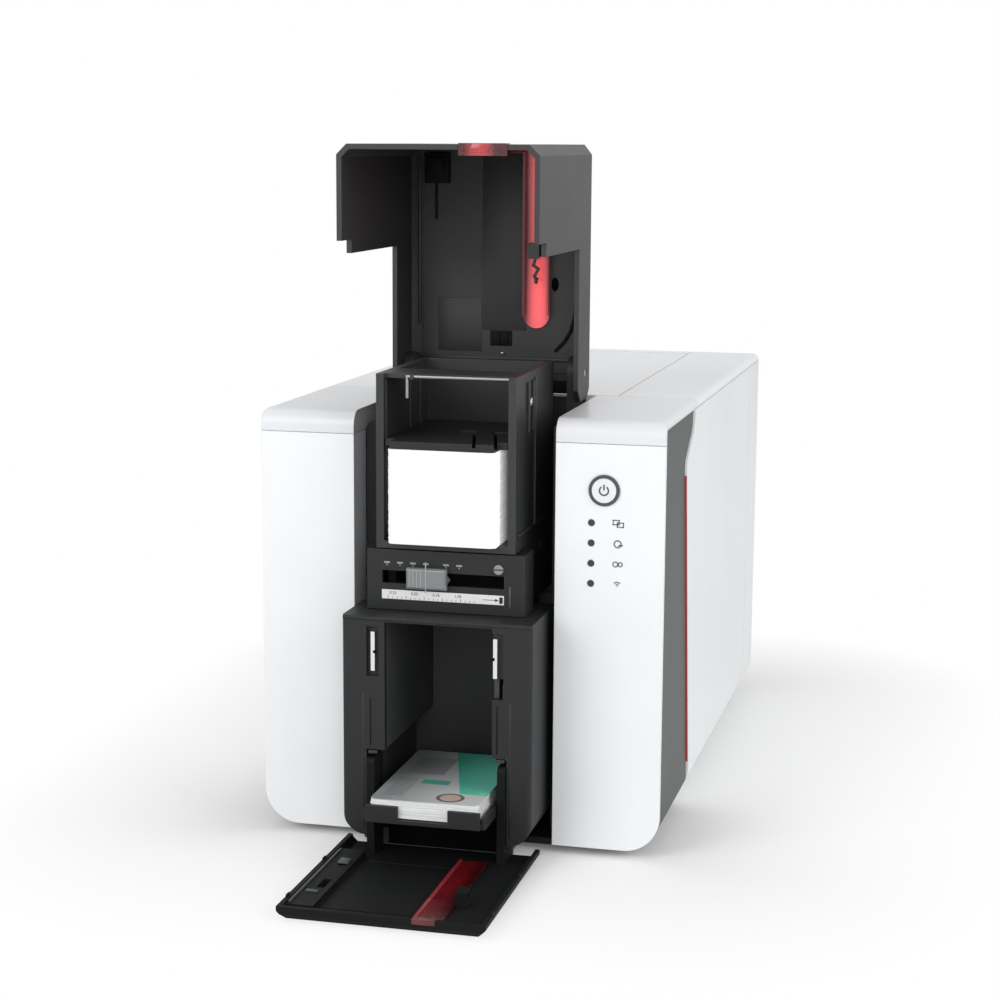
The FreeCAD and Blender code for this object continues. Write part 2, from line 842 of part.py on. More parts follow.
def side_walls(shell):
    """Dark strip, red line and white panel on each side."""
    strip_room = strip_region("strip_room", "0", "shell_wall + running_gap")
    line_room = strip_region("line_room", "accent_width", "shell_wall + running_gap")
    panel_room = strip_region("panel_room", "accent_width + panel_seam", "-2 * overrun")
    for side in ("left", "right"):
        near, far = (("-half - overrun", "-base_inset - panel_seam") if side == "left"
                     else ("base_inset + panel_seam", "half + overrun"))
        room = slab(
            side + "_wall_room", (near, far), ("-overrun", "rear_y"), ("-overrun", "rim_low - running_gap"))
        wall = common(side + "_wall", shell, room)
        full = common(side + "_strip_full", wall, strip_room)
        skin_x = (("-half - overrun", "-half + strip_recess") if side == "left"
                  else ("half - strip_recess", "half + overrun"))
        skin = slab(side + "_strip_skin", skin_x, ("-overrun", "rear_y"), ("-overrun", "body_height"))
        piece(side + "_accent_strip", cut(side + "_strip", full, skin))
        piece(side + "_side_panel", cut(side + "_panel", wall, panel_room))
        thin_room = slab(
            side + "_line_span", (near, far), ("-overrun", "rear_y"), ("accent_low", "accent_high"))
        band = common(side + "_line_band", common(side + "_line_wall", wall, line_room), thin_room)
        pieces[side + "_line"] = cut(side + "_line", band, strip_room)
    group = doc.addObject("Part::Compound", "accent_group")
    group.Links = [pieces.pop("left_line"), pieces.pop("right_line")]
    piece("accent_lines", group)


def cover_ears():
    """Places on X of the two ears that carry the top cover's pins."""
    return (
        ("left", "-half + cover_ear_inset"),
        ("right", "cover_right - cover_ear_inset"),
    )


def top_cover(shell):
    """Hinged cover over the print mechanism."""
    plate = common("cover_plate", shell, slab(
        "cover_room", ("-half - overrun", "cover_right - panel_seam"), ("seam_y", "cover_axis_y"),
        ("rim_low", "body_height + overrun")))
    roll = cross_rod(
        "cover_roll_rod", "cover_roll",
        ("-half + shell_wall + running_gap", "cover_right - panel_seam"), "cover_axis_y", "cover_axis_z")
    flange = slab(
        "cover_flange", ("cover_right - panel_seam - shell_wall", "cover_right - panel_seam"),
        ("seam_y", "cover_axis_y"), ("rim_low - rim_drop", "body_height - shell_wall"))
    front = slab(
        "cover_front_rib", ("-half + 2 * side_round", "cover_right - panel_seam - shell_wall"),
        ("seam_y", "seam_y + shell_wall"), ("rim_low", "body_height - shell_wall"))
    notches = [slab(
        "cover_heel", ("-half - overrun", "-half + shell_wall + running_gap"),
        ("cover_axis_y - 2 * panel_seam", "cover_axis_y + overrun"),
        ("rim_low - overrun", "body_height + overrun"))]
    for side, x in cover_ears():
        notches.append(slab(
            "cover_notch_" + side, (x + " - running_gap", x + " + cover_ear_width + running_gap"),
            ("cover_axis_y - cover_roll - running_gap", "cover_axis_y + cover_roll + overrun"),
            ("cover_axis_z - cover_roll - overrun", "body_height + overrun")))
    body = fuse("cover_body", [plate, roll, flange, front])
    bore = cross_rod(
        "cover_bore", "cover_pin_radius + shaft_clearance", ("-half", "cover_right"), "cover_axis_y",
        "cover_axis_z")
    piece("top_cover", cut("cover_shape", body, bore, *notches))


def top_rail(shell):
    """Fixed strip of the top, right of the cover."""
    skin = common("rail_skin", shell, slab(
        "rail_room", ("cover_right", "half + overrun"), ("seam_y", "body_depth + overrun"),
        ("rim_low", "body_height + overrun")))
    flange = slab(
        "rail_flange", ("cover_right", "cover_right + shell_wall"), ("seam_y", "body_depth - shell_wall"),
        ("rim_low - rim_drop", "body_height - shell_wall"))
    piece("top_right_rail", fuse("rail", [skin, flange]))


def screw(name, x, y, z, way):
    """Pan head screw whose head sits on the plane y and stands out along way on Y."""
    head_y, shank_y = (y, y + " - screw_length") if way == "1" else (y + " - screw_head", y)
    head = rod(name + "_head", "screw_radius", "screw_head", x, head_y, z, "Y")
    shank = rod(name + "_shank", "screw_shank", "screw_length", x, shank_y, z, "Y")
    return fuse(name, [head, shank])


def rear_cover(shell):
    """Rear wall with its side returns, cable sockets, vents and cover ears."""
    wrap = slab(
        "rear_room", ("-half - overrun", "half + overrun"), ("rear_y + panel_seam", "body_depth + overrun"),
        ("-overrun", "rim_low - running_gap"))
    under = slab(
        "rear_under", ("-base_inset - running_gap", "base_inset + running_gap"),
        ("rear_y - overrun", "body_depth - corner_round + running_gap"), ("-2 * overrun", "2 * shell_wall"))
    wall = common("rear_wall", shell, cut("rear_wrap", wrap, under))
    ledge = common("rear_ledge", shell, slab(
        "rear_ledge_room", ("-half - overrun", "cover_right - panel_seam"),
        ("cover_axis_y + cover_roll + running_gap", "body_depth + overrun"),
        ("rim_low - running_gap", "body_height + overrun")))
    parts = [wall, ledge]
    for side, x in cover_ears():
        span = (x, x + " + cover_ear_width")
        parts.append(cross_rod(
            "rear_ear_" + side, "cover_roll - running_gap", span, "cover_axis_y", "cover_axis_z"))
        parts.append(slab(
            "rear_neck_" + side, span, ("cover_axis_y", "body_depth - shell_wall"),
            ("cover_axis_z - cover_roll + running_gap", "cover_axis_z")))
    holes = [
        cross_rod(
            "rear_pin_bore", "cover_pin_radius", ("-half + side_round", "cover_right"),
            "cover_axis_y", "cover_axis_z"),
        slab(
            "inlet_hole", ("inlet_left - running_gap", "inlet_left + inlet_width + running_gap"),
            ("body_depth - 2 * shell_wall", "body_depth + overrun"),
            ("inlet_low - running_gap", "inlet_low + inlet_height + running_gap")),
        slab(
            "ports_hole", ("ports_left - running_gap", "ports_left + ports_width + running_gap"),
            ("body_depth - 2 * shell_wall", "body_depth + overrun"),
            ("ports_low - running_gap", "ports_low + ports_height + running_gap")),
    ]
    for index in range(int(number("vent_count"))):
        start = "module_x + (%d - vent_count / 2) * vent_pitch" % index
        holes.append(slab(
            "vent_%d" % index, (start, start + " + vent_width"),
            ("body_depth - 2 * shell_wall", "body_depth + overrun"), ("vent_low", "vent_high")))
    seat = "body_depth - screw_head - rear_inset"
    screws = []
    for column, x in (("left", "-screw_inset_x"), ("right", "screw_inset_x")):
        for row, z in (("low", "screw_low"), ("high", "screw_high")):
            name = "_%s_%s" % (row, column)
            holes.append(rod(
                "screw_sink" + name, "screw_radius + button_play", "screw_head + overrun", x, seat, z, "Y"))
            holes.append(rod(
                "screw_hole" + name, "screw_shank", "screw_length + overrun", x,
                seat + " - screw_length - overrun", z, "Y"))
            screws.append(screw("screw" + name, x, seat, z, "1"))
    piece("rear_cover", cut("rear", fuse("rear_body", parts), *holes))
    screws.append(screw(
        "screw_gauge", "module_x + gauge_screw_x", "-feeder_reach", "gauge_screw_z", "-1"))
    group = doc.addObject("Part::Compound", "screw_group")
    group.Links = screws
    piece("case_screws", group)


def liner():
    """Black lining of the front bay, with the ears that carry the hood."""
    low = "base_top + running_gap"
    walls = []
    for side, near, far in (
        ("left", "module_x - liner_half", "module_x - liner_half + liner_wall"),
        ("right", "module_x + liner_half - liner_wall", "module_x + liner_half"),
    ):
        block = slab(
            side + "_liner_block", (near, far), ("panel_return + running_gap", "liner_back"),
            (low, "liner_height"))
        walls.append(rounded(side + "_liner", block, {
            ("x-" if side == "left" else "x+") + "z+": "liner_round"}))
    back = wide(
        "liner_back_plate", "liner_half - liner_wall", ("liner_back - liner_back_wall", "liner_back"),
        (low, "body_height - panel_seam"))
    parts = walls + [back]
    for side, sign in (("left", "-"), ("right", "+")):
        inner = "module_x %s ear_in" % sign
        outer = "module_x %s (liner_half - liner_round)" % sign
        span = (outer, inner) if side == "left" else (inner, outer)
        parts.append(slab(side + "_pad", span, ("pad_front", "liner_back"), ("pad_low", "liner_height")))
        ear_edge = "module_x %s ear_out" % sign
        ear = (ear_edge, inner) if side == "left" else (inner, ear_edge)
        parts.append(slab(
            side + "_ear_post", ear, ("hood_axis_y - ear_round", "hood_axis_y + ear_round"),
            ("liner_height", "hood_axis_z")))
        parts.append(cross_rod(side + "_ear_top", "ear_round", ear, "hood_axis_y", "hood_axis_z"))
    bore = cross_rod(
        "liner_bore", "hood_pin_radius",
        ("module_x - hood_half", "module_x + hood_half"), "hood_axis_y", "hood_axis_z")
    feed = wide(
        "liner_feed_slot", "bay_half - chute_wall",
        ("liner_back - liner_back_wall - overrun", "liner_back + overrun"),
        ("card_path - card_slot_height / 2", "card_path + card_slot_height / 2"))
    drop = wide(
        "liner_exit_slot", "bay_half - chute_wall",
        ("liner_back - liner_back_wall - overrun", "liner_back + overrun"),
        ("exit_slot_low", "exit_slot_low + card_slot_height"))
    piece("bay_liner", cut("liner", fuse("liner_body", parts), bore, feed, drop))


def window_room(name, y, z, grow="0"):
    """Box over the level window's width."""
    return slab(
        name, ("module_x + window_left - (%s)" % grow, "module_x + window_left + window_width + (%s)" % grow),
        y, z)


def hood():
    """Hood over the feeder, standing open, with its window, tab, clip and pins."""
    side = [
        ("hood_free", "hood_top"),
        ("hood_free", "hood_axis_z + hood_skirt + hood_skirt_step"),
        ("hood_free + hood_step_length", "hood_axis_z + hood_skirt + hood_skirt_step"),
        ("hood_free + hood_step_length", "hood_axis_z + hood_skirt"),
        ("hood_axis_y - hood_cheek", "hood_axis_z + hood_skirt"),
        ("hood_axis_y - hood_cheek", "hood_foot + hood_cheek_cut"),
        ("hood_axis_y - hood_cheek + hood_cheek_cut", "hood_foot"),
        ("hood_back - hood_tail_cut", "hood_foot"),
        ("hood_back", "hood_foot + hood_tail_cut"),
        ("hood_back", "hood_top"),
    ]
    block = side_prism("hood_block", side, ("module_x - hood_half", "module_x + hood_half"))
    skin = bevelled("hood_skin", block, {
        "x-z+": "hood_bevel", "x+z+": "hood_bevel", "x-y+": "hood_bevel", "x+y+": "hood_bevel"})
    hollow = wide(
        "hood_hollow", "hood_inner", ("hood_free - overrun", "hood_back - hood_wall"),
        ("hood_foot - overrun", "hood_top - hood_wall"))
    room = bevelled("hood_room", hollow, {
        "x-z+": "hood_bevel - hood_wall / 2", "x+z+": "hood_bevel - hood_wall / 2",
        "x-y+": "hood_bevel - hood_wall / 2", "x+y+": "hood_bevel - hood_wall / 2"})
    back_low = "hood_window_low + window_margin"
    back_slot = window_room(
        "hood_back_slot", ("hood_back - hood_wall - overrun", "hood_back + overrun"),
        (back_low, "hood_top - 2 * window_margin"))
    top_slot = window_room(
        "hood_top_slot", ("hood_free + 2 * window_margin", "hood_back - 2 * window_margin"),
        ("hood_top - hood_wall - overrun", "hood_top + overrun"))
    tab_x = ("module_x + tab_left - running_gap", "module_x + tab_left + tab_width + running_gap")
    tab_slot = slab(
        "hood_tab_slot", tab_x, ("hood_free - overrun", "hood_free + tab_depth + running_gap"),
        ("hood_top - hood_wall - overrun", "hood_top + overrun"))
    bores = cross_rod(
        "hood_bores", "hood_pin_radius + shaft_clearance",
        ("module_x - hood_half - overrun", "module_x + hood_half + overrun"),
        "hood_axis_y", "hood_axis_z")
    piece("hood_shell", cut("hood", skin, room, back_slot, top_slot, tab_slot, bores))

    inner_y = "hood_back - hood_wall"
    inner_z = "hood_top - hood_wall"
    upright = window_room(
        "window_upright", (inner_y + " - window_flange_wall", inner_y),
        ("hood_window_low + window_width / 2", inner_z), "window_flange")
    nose = rod(
        "window_nose", "window_width / 2 + window_flange", "window_flange_wall",
        "module_x + window_left + window_width / 2", inner_y + " - window_flange_wall",
        "hood_window_low + window_width / 2 + window_flange", "Y")
    ceiling = window_room(
        "window_ceiling", ("hood_free + tab_depth + 2 * running_gap", inner_y),
        (inner_z + " - window_flange_wall", inner_z), "window_flange")
    back_pane = window_room(
        "window_back_pane", (inner_y, "hood_back"),
        (back_low + " + button_play", "hood_top - 2 * window_margin - button_play"),
        "-button_play")
    top_pane = window_room(
        "window_top_pane",
        ("hood_free + 2 * window_margin + button_play", "hood_back - 2 * window_margin - button_play"),
        (inner_z, "hood_top"), "-button_play")
    ribs = []
    for name, near in (("left", "module_x + window_left - window_flange"),
                       ("right", "module_x + window_left + window_width + window_flange - window_rib_wall")):
        ribs.append(slab(
            "window_rib_" + name, (near, near + " + window_rib_wall"),
            (inner_y + " - window_rib", inner_y),
            ("hood_window_low + window_width / 2 + window_flange", inner_z)))
    window = fuse("window_body", [upright, nose, ceiling, back_pane, top_pane] + ribs)
    piece("hood_window", window)

    piece("hood_tab", slab(
        "tab_block", ("module_x + tab_left", "module_x + tab_left + tab_width"),
        ("hood_free", "hood_free + tab_depth"), ("hood_top - tab_drop", "hood_top + tab_proud")))
    clip_x = "module_x + window_left + (window_width - hood_clip_width) / 2"
    clip_back = inner_y + " - window_flange_wall"
    stem = slab(
        "clip_stem", (clip_x, clip_x + " + hood_clip_width"), (clip_back + " - hood_clip_depth", clip_back),
        ("hood_clip_low + hood_clip_height / 2", "hood_clip_low + hood_clip_height"))
    hook = slab(
        "clip_hook", (clip_x, clip_x + " + hood_clip_width"),
        (clip_back + " - hood_clip_depth", clip_back + " - hood_clip_depth + window_rib_wall"),
        ("hood_clip_low", "hood_clip_low + hood_clip_height"))
    piece("hood_clip", fuse("clip", [stem, hook]))


def output_box():
    """Black box below the feeder, with the door keepers on its face."""
    block = wide("box_block", "box_half", ("-box_reach", "box_back"), ("box_low", "box_top"))
    skin = rounded("box_skin", block, {
        "x-z-": "box_corner", "x+z-": "box_corner", "x-y-": "box_edge", "x+y-": "box_edge"})
    hollow = wide(
        "box_hollow", "box_inner", ("-box_reach + box_face_wall", "box_back + overrun"),
        ("box_low + box_wall", "box_top - box_wall"))
    room = rounded("box_room", hollow, {
        "x-z-": "box_corner - box_wall", "x+z-": "box_corner - box_wall"})
    mouth = slab(
        "box_mouth", ("module_x - opening_left", "module_x + opening_right"),
        ("-box_reach - overrun", "-box_reach + box_face_wall + overrun"),
        ("opening_low - overrun", "box_top - box_wall"))
    bay = wide(
        "box_bay", "bay_half", ("-box_reach - overrun", "-bay_open_back"),
        ("box_low - overrun", "opening_low"))
    under = wide(
        "box_under", "bay_half + chute_wall + running_gap",
        ("-box_reach + box_face_wall", "box_back + overrun"),
        ("box_low - overrun", "opening_low"))
    latch_x = "module_x + window_left + window_width + window_flange + running_gap"
    latch_z = "door_axis_z + door_axis_y + door_clip_near"
    latch = slab(
        "box_latch", (latch_x + " - latch_play", latch_x + " + door_clip_width + latch_play"),
        ("-box_reach - overrun", "-box_reach + box_face_wall + overrun"),
        (latch_z + " - 3 * latch_play", latch_z + " + door_clip_length + latch_play"))
    slots = []
    bars = []
    for side, bar_x, slot_x in (
        ("left", "module_x - opening_left - keeper_out - keeper_width",
         "module_x - opening_left - keeper_out - keeper_slot_width / 2 - keeper_width / 2"),
        ("right", "module_x + opening_right + running_gap", "module_x + opening_right - overrun"),
    ):
        slots.append(slab(
            "keeper_slot_" + side, (slot_x, slot_x + " + keeper_slot_width"),
            ("-box_reach - overrun", "-box_reach + keeper_slot_depth"),
            ("keeper_low - (keeper_slot_height - keeper_height) / 2",
             "keeper_low + (keeper_slot_height + keeper_height) / 2")))
        bars.append(slab(
            "keeper_" + side, (bar_x, bar_x + " + keeper_width"),
            ("-box_reach + keeper_slot_depth - keeper_depth", "-box_reach + keeper_slot_depth"),
            ("keeper_low", "keeper_low + keeper_height")))
    piece("output_box", cut("box", skin, room, mouth, bay, under, latch, *slots))
    group = doc.addObject("Part::Compound", "keeper_group")
    group.Links = bars
    piece("door_keepers", group)


def output_chute():
    """Channel behind the box face, where printed cards drop on the tray."""
    front = "-box_reach + box_face_wall + running_gap"
    parts = []
    for side, near, far in (
        ("left", "module_x - bay_half - chute_wall", "module_x - bay_half"),
        ("right", "module_x + bay_half", "module_x + bay_half + chute_wall"),
    ):
        parts.append(slab(
            "chute_low_" + side, (near, far), (front, "chute_back"),
            ("chute_floor", "opening_low + chute_wall")))
        parts.append(slab(
            "chute_foot_" + side, (near, far), ("box_back + running_gap", "chute_back"),
            ("base_top + running_gap", "chute_floor")))
    for side, near, far in (
        ("left", "module_x - opening_left - chute_wall", "module_x - opening_left"),
        ("right", "module_x + opening_right", "module_x + opening_right + chute_wall"),
    ):
        parts.append(slab(
            "chute_high_" + side, (near, far), (front, "chute_back"),
            ("opening_low", "box_top - box_wall - running_gap")))
    parts.append(slab(
        "chute_shoulder_left", ("module_x - bay_half - chute_wall", "module_x - opening_left"),
        (front, "chute_back"), ("opening_low", "opening_low + chute_wall")))
    parts.append(slab(
        "chute_shoulder_right", ("module_x + opening_right", "module_x + bay_half + chute_wall"),
        (front, "chute_back"), ("opening_low", "opening_low + chute_wall")))
    parts.append(wide(
        "chute_floor_plate", "bay_half + chute_wall", ("-bay_open_back + overrun", "chute_back"),
        ("chute_floor", "chute_floor + chute_floor_wall")))
    parts.append(wide(
        "chute_lead_plate", "bay_half - running_gap", ("-chute_lead", "-bay_open_back + 2 * overrun"),
        ("chute_floor", "chute_floor + chute_floor_wall")))
    parts.append(wide(
        "chute_apron", "bay_half - running_gap", ("-chute_lead", "-chute_lead + chute_floor_wall"),
        ("-chute_apron_drop", "chute_floor")))
    parts.append(wide(
        "chute_back_plate", "bay_half + chute_wall", ("chute_back - chute_back_wall", "chute_back"),
        ("chute_floor", "box_top - box_wall - running_gap")))
    for side, near in (("left", "module_x - runner_half"), ("right", "module_x + runner_half - runner_wall")):
        parts.append(slab(
            "chute_runner_" + side, (near, near + " + runner_wall"), ("0", "chute_back"),
            ("chute_floor", "tray_low - running_gap")))
    slot = slab(
        "chute_slot", ("module_x - opening_left", "module_x + opening_right"),
        ("chute_back - chute_back_wall - overrun", "chute_back + overrun"),
        ("exit_slot_low", "exit_slot_low + card_slot_height"))
    bore = cross_rod(
        "chute_bore", "door_pin_radius + shaft_clearance",
        ("module_x - bay_half - chute_wall - overrun", "module_x + bay_half + chute_wall + overrun"),
        "door_axis_y", "door_axis_z")
    piece("output_chute", cut("chute", fuse("chute_body", parts), slot, bore))


def output_tray():
    """Sliding tray and the printed cards on it."""
    plate = wide(
        "tray_plate", "tray_half", ("-tray_reach", "tray_back"), ("tray_low", "tray_low + tray_wall"))
    lip = wide(
        "tray_lip", "tray_lip_half", ("-tray_reach - tray_lip_wall", "-tray_reach"),
        ("tray_low", "tray_low + tray_lip_height"))
    rails = []
    for side, near in (("left", "module_x - tray_half"), ("right", "module_x + tray_half - tray_wall")):
        rails.append(slab(
            "tray_rail_" + side, (near, near + " + tray_wall"), ("-tray_reach", "tray_back"),
            ("tray_low", "tray_low + tray_rail_height")))
    notch = wide(
        "tray_notch", "tray_notch_half", ("-tray_reach - tray_lip_wall - overrun", "-tray_reach"),
        ("tray_low + tray_wall", "tray_low + tray_lip_height + overrun"))
    piece("output_tray", cut("tray", fuse("tray_body", [plate, lip] + rails), notch))


def card_stack(name, front, low, high):
    """Stack of plastic cards with round corners."""
    block = wide(name + "_block", "card_width / 2", (front, front + " + card_length"), (low, high))
    return rounded(name + "_stack", block, {
        "x-y-": "card_round", "x+y-": "card_round", "x-y+": "card_round", "x+y+": "card_round"})


def cards():
    piece("printed_cards", card_stack("printed", "-tray_reach + button_play", "printed_low", "printed_high"))
    piece("blank_cards", card_stack("blank", "-blank_reach", "cards_low", "cards_high"))
    low = "cards_high + running_gap"
    plate = wide(
        "weight_plate", "feeder_inner - 2 * running_gap",
        ("-feeder_reach + weight_inset", "card_length - blank_reach - weight_inset"),
        (low, low + " + weight_wall"))
    front = wide(
        "weight_front", "card_width / 2 - weight_inset",
        ("-blank_reach + weight_inset", "-feeder_reach + weight_inset"), (low, low + " + weight_wall"))
    floor = low + " + weight_wall - groove_depth"
    over = low + " + weight_wall + overrun"
    lean = FreeCAD.Rotation(FreeCAD.Vector(0, 0, 1), number("atan(groove_shift / groove_run)"))
    end = "-blank_reach + groove_run"
    grooves = []
    for side, reach_left, reach_right in (("left", "groove_bar", "groove_width"), ("right", "0", "groove_bar")):
        near = "module_x + groove_" + side
        far = near + " - groove_shift"
        run = slab(
            "groove_run_" + side, (near, near + " + groove_width"),
            ("-blank_reach", "-blank_reach + hypot(groove_run; groove_shift)"), (floor, over))
        run.Placement = FreeCAD.Placement(run.Placement.Base, lean)
        grooves.append(run)
        grooves.append(slab(
            "groove_end_" + side, (far + " - " + reach_left, far + " + " + reach_right),
            (end + " - groove_bar_width", end), (floor, over)))
    piece("card_weight", cut("weight", fuse("weight_body", [plate, front]), *grooves))


def output_door():
    """Door of the output box, lying open, with its arms, window, clip and pins."""
    block = wide(
        "door_block", "hood_half", ("door_tip", "door_heel_y"), ("door_low", "door_low + door_rim_height"))
    skin = bevelled("door_skin", block, {
        "x-z-": "door_bevel", "x+z-": "door_bevel", "y-z-": "door_inner_bevel"})
    hollow = wide(
        "door_hollow", "hood_half - door_rim", ("door_tip + door_rim", "door_heel_y + overrun"),
        ("door_floor", "door_low + door_rim_height + overrun"))
    room = bevelled("door_room", hollow, {
        "x-z-": "door_inner_bevel", "x+z-": "door_inner_bevel"})
    pan = cut("door_pan", skin, room)
    parts = [pan]
    for side, near, far in (
        ("left", "module_x - arm_out", "module_x - arm_in"),
        ("right", "module_x + arm_in", "module_x + arm_out"),
    ):
        arm = slab(
            "door_arm_block_" + side, (near, far),
            ("door_axis_y - door_arm_front", "door_axis_y + door_arm_back"),
            ("door_floor", "door_arm_height"))
        parts.append(rounded("door_arm_" + side, arm, {"y-z+": "door_arm_round", "y+z+": "door_arm_round"}))
    rail = slab(
        "door_rail", ("module_x - hood_half + door_rim", "module_x - hood_half + door_rim + door_rail_width"),
        ("-door_rail_far", "-door_rail_near"), ("door_floor", "door_floor + door_rail_height"))
    parts.append(rail)
    tools = [cross_rod(
        "door_bores", "door_pin_radius + shaft_clearance",
        ("module_x - arm_out - overrun", "module_x + arm_out + overrun"),
        "door_axis_y", "door_axis_z")]
    slot_x = "module_x - hood_half + door_rim + door_rail_width / 2"
    near_slot = "-door_rail_near - 2 * door_rail_slot_length"
    far_slot = "-door_rail_far + 2 * door_rail_slot_length"
    for index, y in enumerate((near_slot, far_slot)):
        tools.append(slab(
            "door_rail_slot_%d" % index, (slot_x, slot_x + " + door_rail_slot_width"),
            (y, y + " + door_rail_slot_length"), ("door_floor", "door_floor + door_rail_height + overrun")))
    tools.append(window_room(
        "door_window_slot", ("-door_window_far", "-door_window_near"),
        ("door_low - overrun", "door_floor + overrun")))
    tools.append(window_room(
        "door_lip_slot", ("door_tip - overrun", "door_tip + door_rim + overrun"),
        ("door_floor + window_flange_wall", "door_low + door_rim_height + overrun")))
    piece("output_door", cut("door", fuse("door_body", parts), *tools))

    pane = window_room(
        "door_pane", ("-door_window_far + button_play", "-door_window_near - button_play"),
        ("door_low", "door_floor"), "-button_play")
    flange = window_room(
        "door_flange", ("door_tip + door_rim + button_play", "-door_window_near + window_flange"),
        ("door_floor", "door_floor + window_flange_wall"), "window_flange")
    lip = window_room(
        "door_lip", ("door_tip", "door_tip + door_rim + 2 * button_play"),
        ("door_floor + window_flange_wall", "door_low + door_rim_height"), "-button_play")
    foot = window_room(
        "door_lip_foot",
        ("door_tip + door_rim + button_play", "door_tip + door_rim + button_play + window_rib_wall"),
        ("door_floor", "door_low + door_rim_height"), "-button_play")
    piece("door_window", fuse("door_window_body", [pane, flange, lip, foot]))

    clip_x = ("module_x + window_left + window_width + window_flange + running_gap",
              "module_x + window_left + window_width + window_flange + running_gap + door_clip_width")
    clip = slab(
        "door_clip_block", clip_x, ("-door_clip_near - door_clip_length", "-door_clip_near"),
        ("door_floor", "door_floor + door_clip_height"))
    eye = slab(
        "door_clip_eye", (clip_x[0] + " - overrun", clip_x[1] + " + overrun"),
        ("-door_clip_near - door_clip_length * 3 / 4", "-door_clip_near - door_clip_length / 4"),
        ("door_floor + door_clip_height / 2", "door_floor + door_clip_height * 3 / 4"))
    piece("door_clip", cut("door_clip_shape", clip, eye))


def hinge_pins():
    """Steel pins of the hood, the output door and the top cover, held in the fixed side of each hinge."""
    pins = []
    for name, x in (
        ("left", ("module_x - hood_half + running_gap", "module_x - ear_in")),
        ("right", ("module_x + ear_in", "module_x + hood_half - running_gap")),
    ):
        pins.append(cross_rod("hood_pin_" + name, "hood_pin_radius", x, "hood_axis_y", "hood_axis_z"))
    for name, x in (
        ("left", ("module_x - bay_half - chute_wall", "module_x - arm_in")),
        ("right", ("module_x + arm_in", "module_x + bay_half + chute_wall")),
    ):
        pins.append(cross_rod("door_pin_" + name, "door_pin_radius", x, "door_axis_y", "door_axis_z"))
    for name, x in cover_ears():
        pins.append(cross_rod(
            "cover_pin_" + name, "cover_pin_radius",
            (x + " - cover_ear_width", x + " + 2 * cover_ear_width"), "cover_axis_y", "cover_axis_z"))
    group = doc.addObject("Part::Compound", "pin_group")
    group.Links = pins
    piece("hinge_pins", group)


def feeder():
    """Hopper that holds the blank cards."""
    walls = []
    profile = [
        ("-feeder_reach", "feeder_floor"),
        ("feeder_leg_front", "feeder_floor"),
        ("feeder_leg_front", "box_top + running_gap"),
        ("feeder_back", "box_top + running_gap"),
        ("feeder_back", "feeder_top"),
        ("-feeder_reach", "feeder_top"),
    ]
    for side, near, far in (
        ("left", "module_x - feeder_half", "module_x - feeder_inner"),
        ("right", "module_x + feeder_inner", "module_x + feeder_half"),
    ):
        walls.append(side_prism("feeder_%s_wall" % side, profile, (near, far)))
    floor = wide(
        "feeder_floor_plate", "feeder_inner", ("-feeder_reach", "feeder_back"),
        ("feeder_floor", "feeder_floor + feeder_floor_wall"))
    back = wide(
        "feeder_back_plate", "feeder_inner", ("feeder_back - feeder_back_wall", "feeder_back"),
        ("feeder_floor", "feeder_top"))
    bridge = wide(
        "feeder_bridge", "feeder_inner", ("-bridge_front", "bridge_back"),
        ("feeder_top - bridge_wall", "feeder_top"))
    lug = slab(
        "bail_lug",
        ("module_x - bail_left + bail_radius * 2", "module_x - bail_left + bail_radius * 2 + bail_lug_width"),
        ("bail_y - bail_lug_margin", "-bridge_front"), ("bail_z - bail_lug_margin", "feeder_top"))
    body = fuse("feeder_body", walls + [floor, back, bridge, lug])
    tools = [
        wide(
            "roller_window", "rubber_half + roller_window_margin",
            ("feed_y - feed_radius - roller_window_margin", "feed_y + feed_radius + roller_window_margin"),
            ("feeder_floor - overrun", "feeder_floor + feeder_floor_wall + overrun")),
        wide(
            "feeder_gate", "card_width / 2 + running_gap",
            ("feeder_back - feeder_back_wall - overrun", "feeder_back + overrun"),
            ("feeder_floor + feeder_floor_wall", "feeder_floor + feeder_floor_wall + gate_height")),
        cross_rod(
            "feeder_bore", "shaft_bore",
            ("module_x - feeder_half - overrun", "module_x + feeder_half + overrun"),
            "feed_y", "feed_z"),
        cross_rod(
            "bail_bore", "bail_radius + shaft_clearance",
            ("module_x - bail_left", "module_x + feeder_inner + bail_seat"), "bail_y", "bail_z"),
    ]
    piece("feeder_frame", cut("feeder", body, *tools))

    bar = cross_rod(
        "bail_bar", "bail_radius",
        ("module_x - bail_left", "module_x + feeder_inner + bail_seat - running_gap"),
        "bail_y", "bail_z")
    leg = rod(
        "bail_leg_rod", "bail_radius", "bail_leg", "module_x - bail_left", "bail_y", "bail_z - bail_leg", "Z")
    knee = doc.addObject("Part::Sphere", "bail_knee")
    bind(knee, "Radius", "bail_radius")
    place(knee, "module_x - bail_left", "bail_y", "bail_z")
    piece("feeder_bail", fuse("bail", [bar, leg, knee]))
    roller("feed_roller", "feed_radius", "feed_y", "feed_z", "feeder_half + running_gap", "0")


def roller(label, radius, y, z, journal, pulley):
    """Rubber roller on a shaft, with a belt pulley where its radius is given."""
    stations = [
        ("-(%s)" % journal, "shaft_radius"),
        ("-rubber_half", "shaft_radius"),
        ("-rubber_half", radius),
        ("rubber_half", radius),
        ("rubber_half", "shaft_radius"),
        ("(%s)" % journal, "shaft_radius"),
    ]
    if pulley != "0":
        start = "chassis_out + pulley_stand"
        stations[-1] = (start, "shaft_radius")
        stations += [(start, pulley), (start + " + pulley_width", pulley)]
    return piece(label, turned(label + "_body", stations, "module_x", y, z))


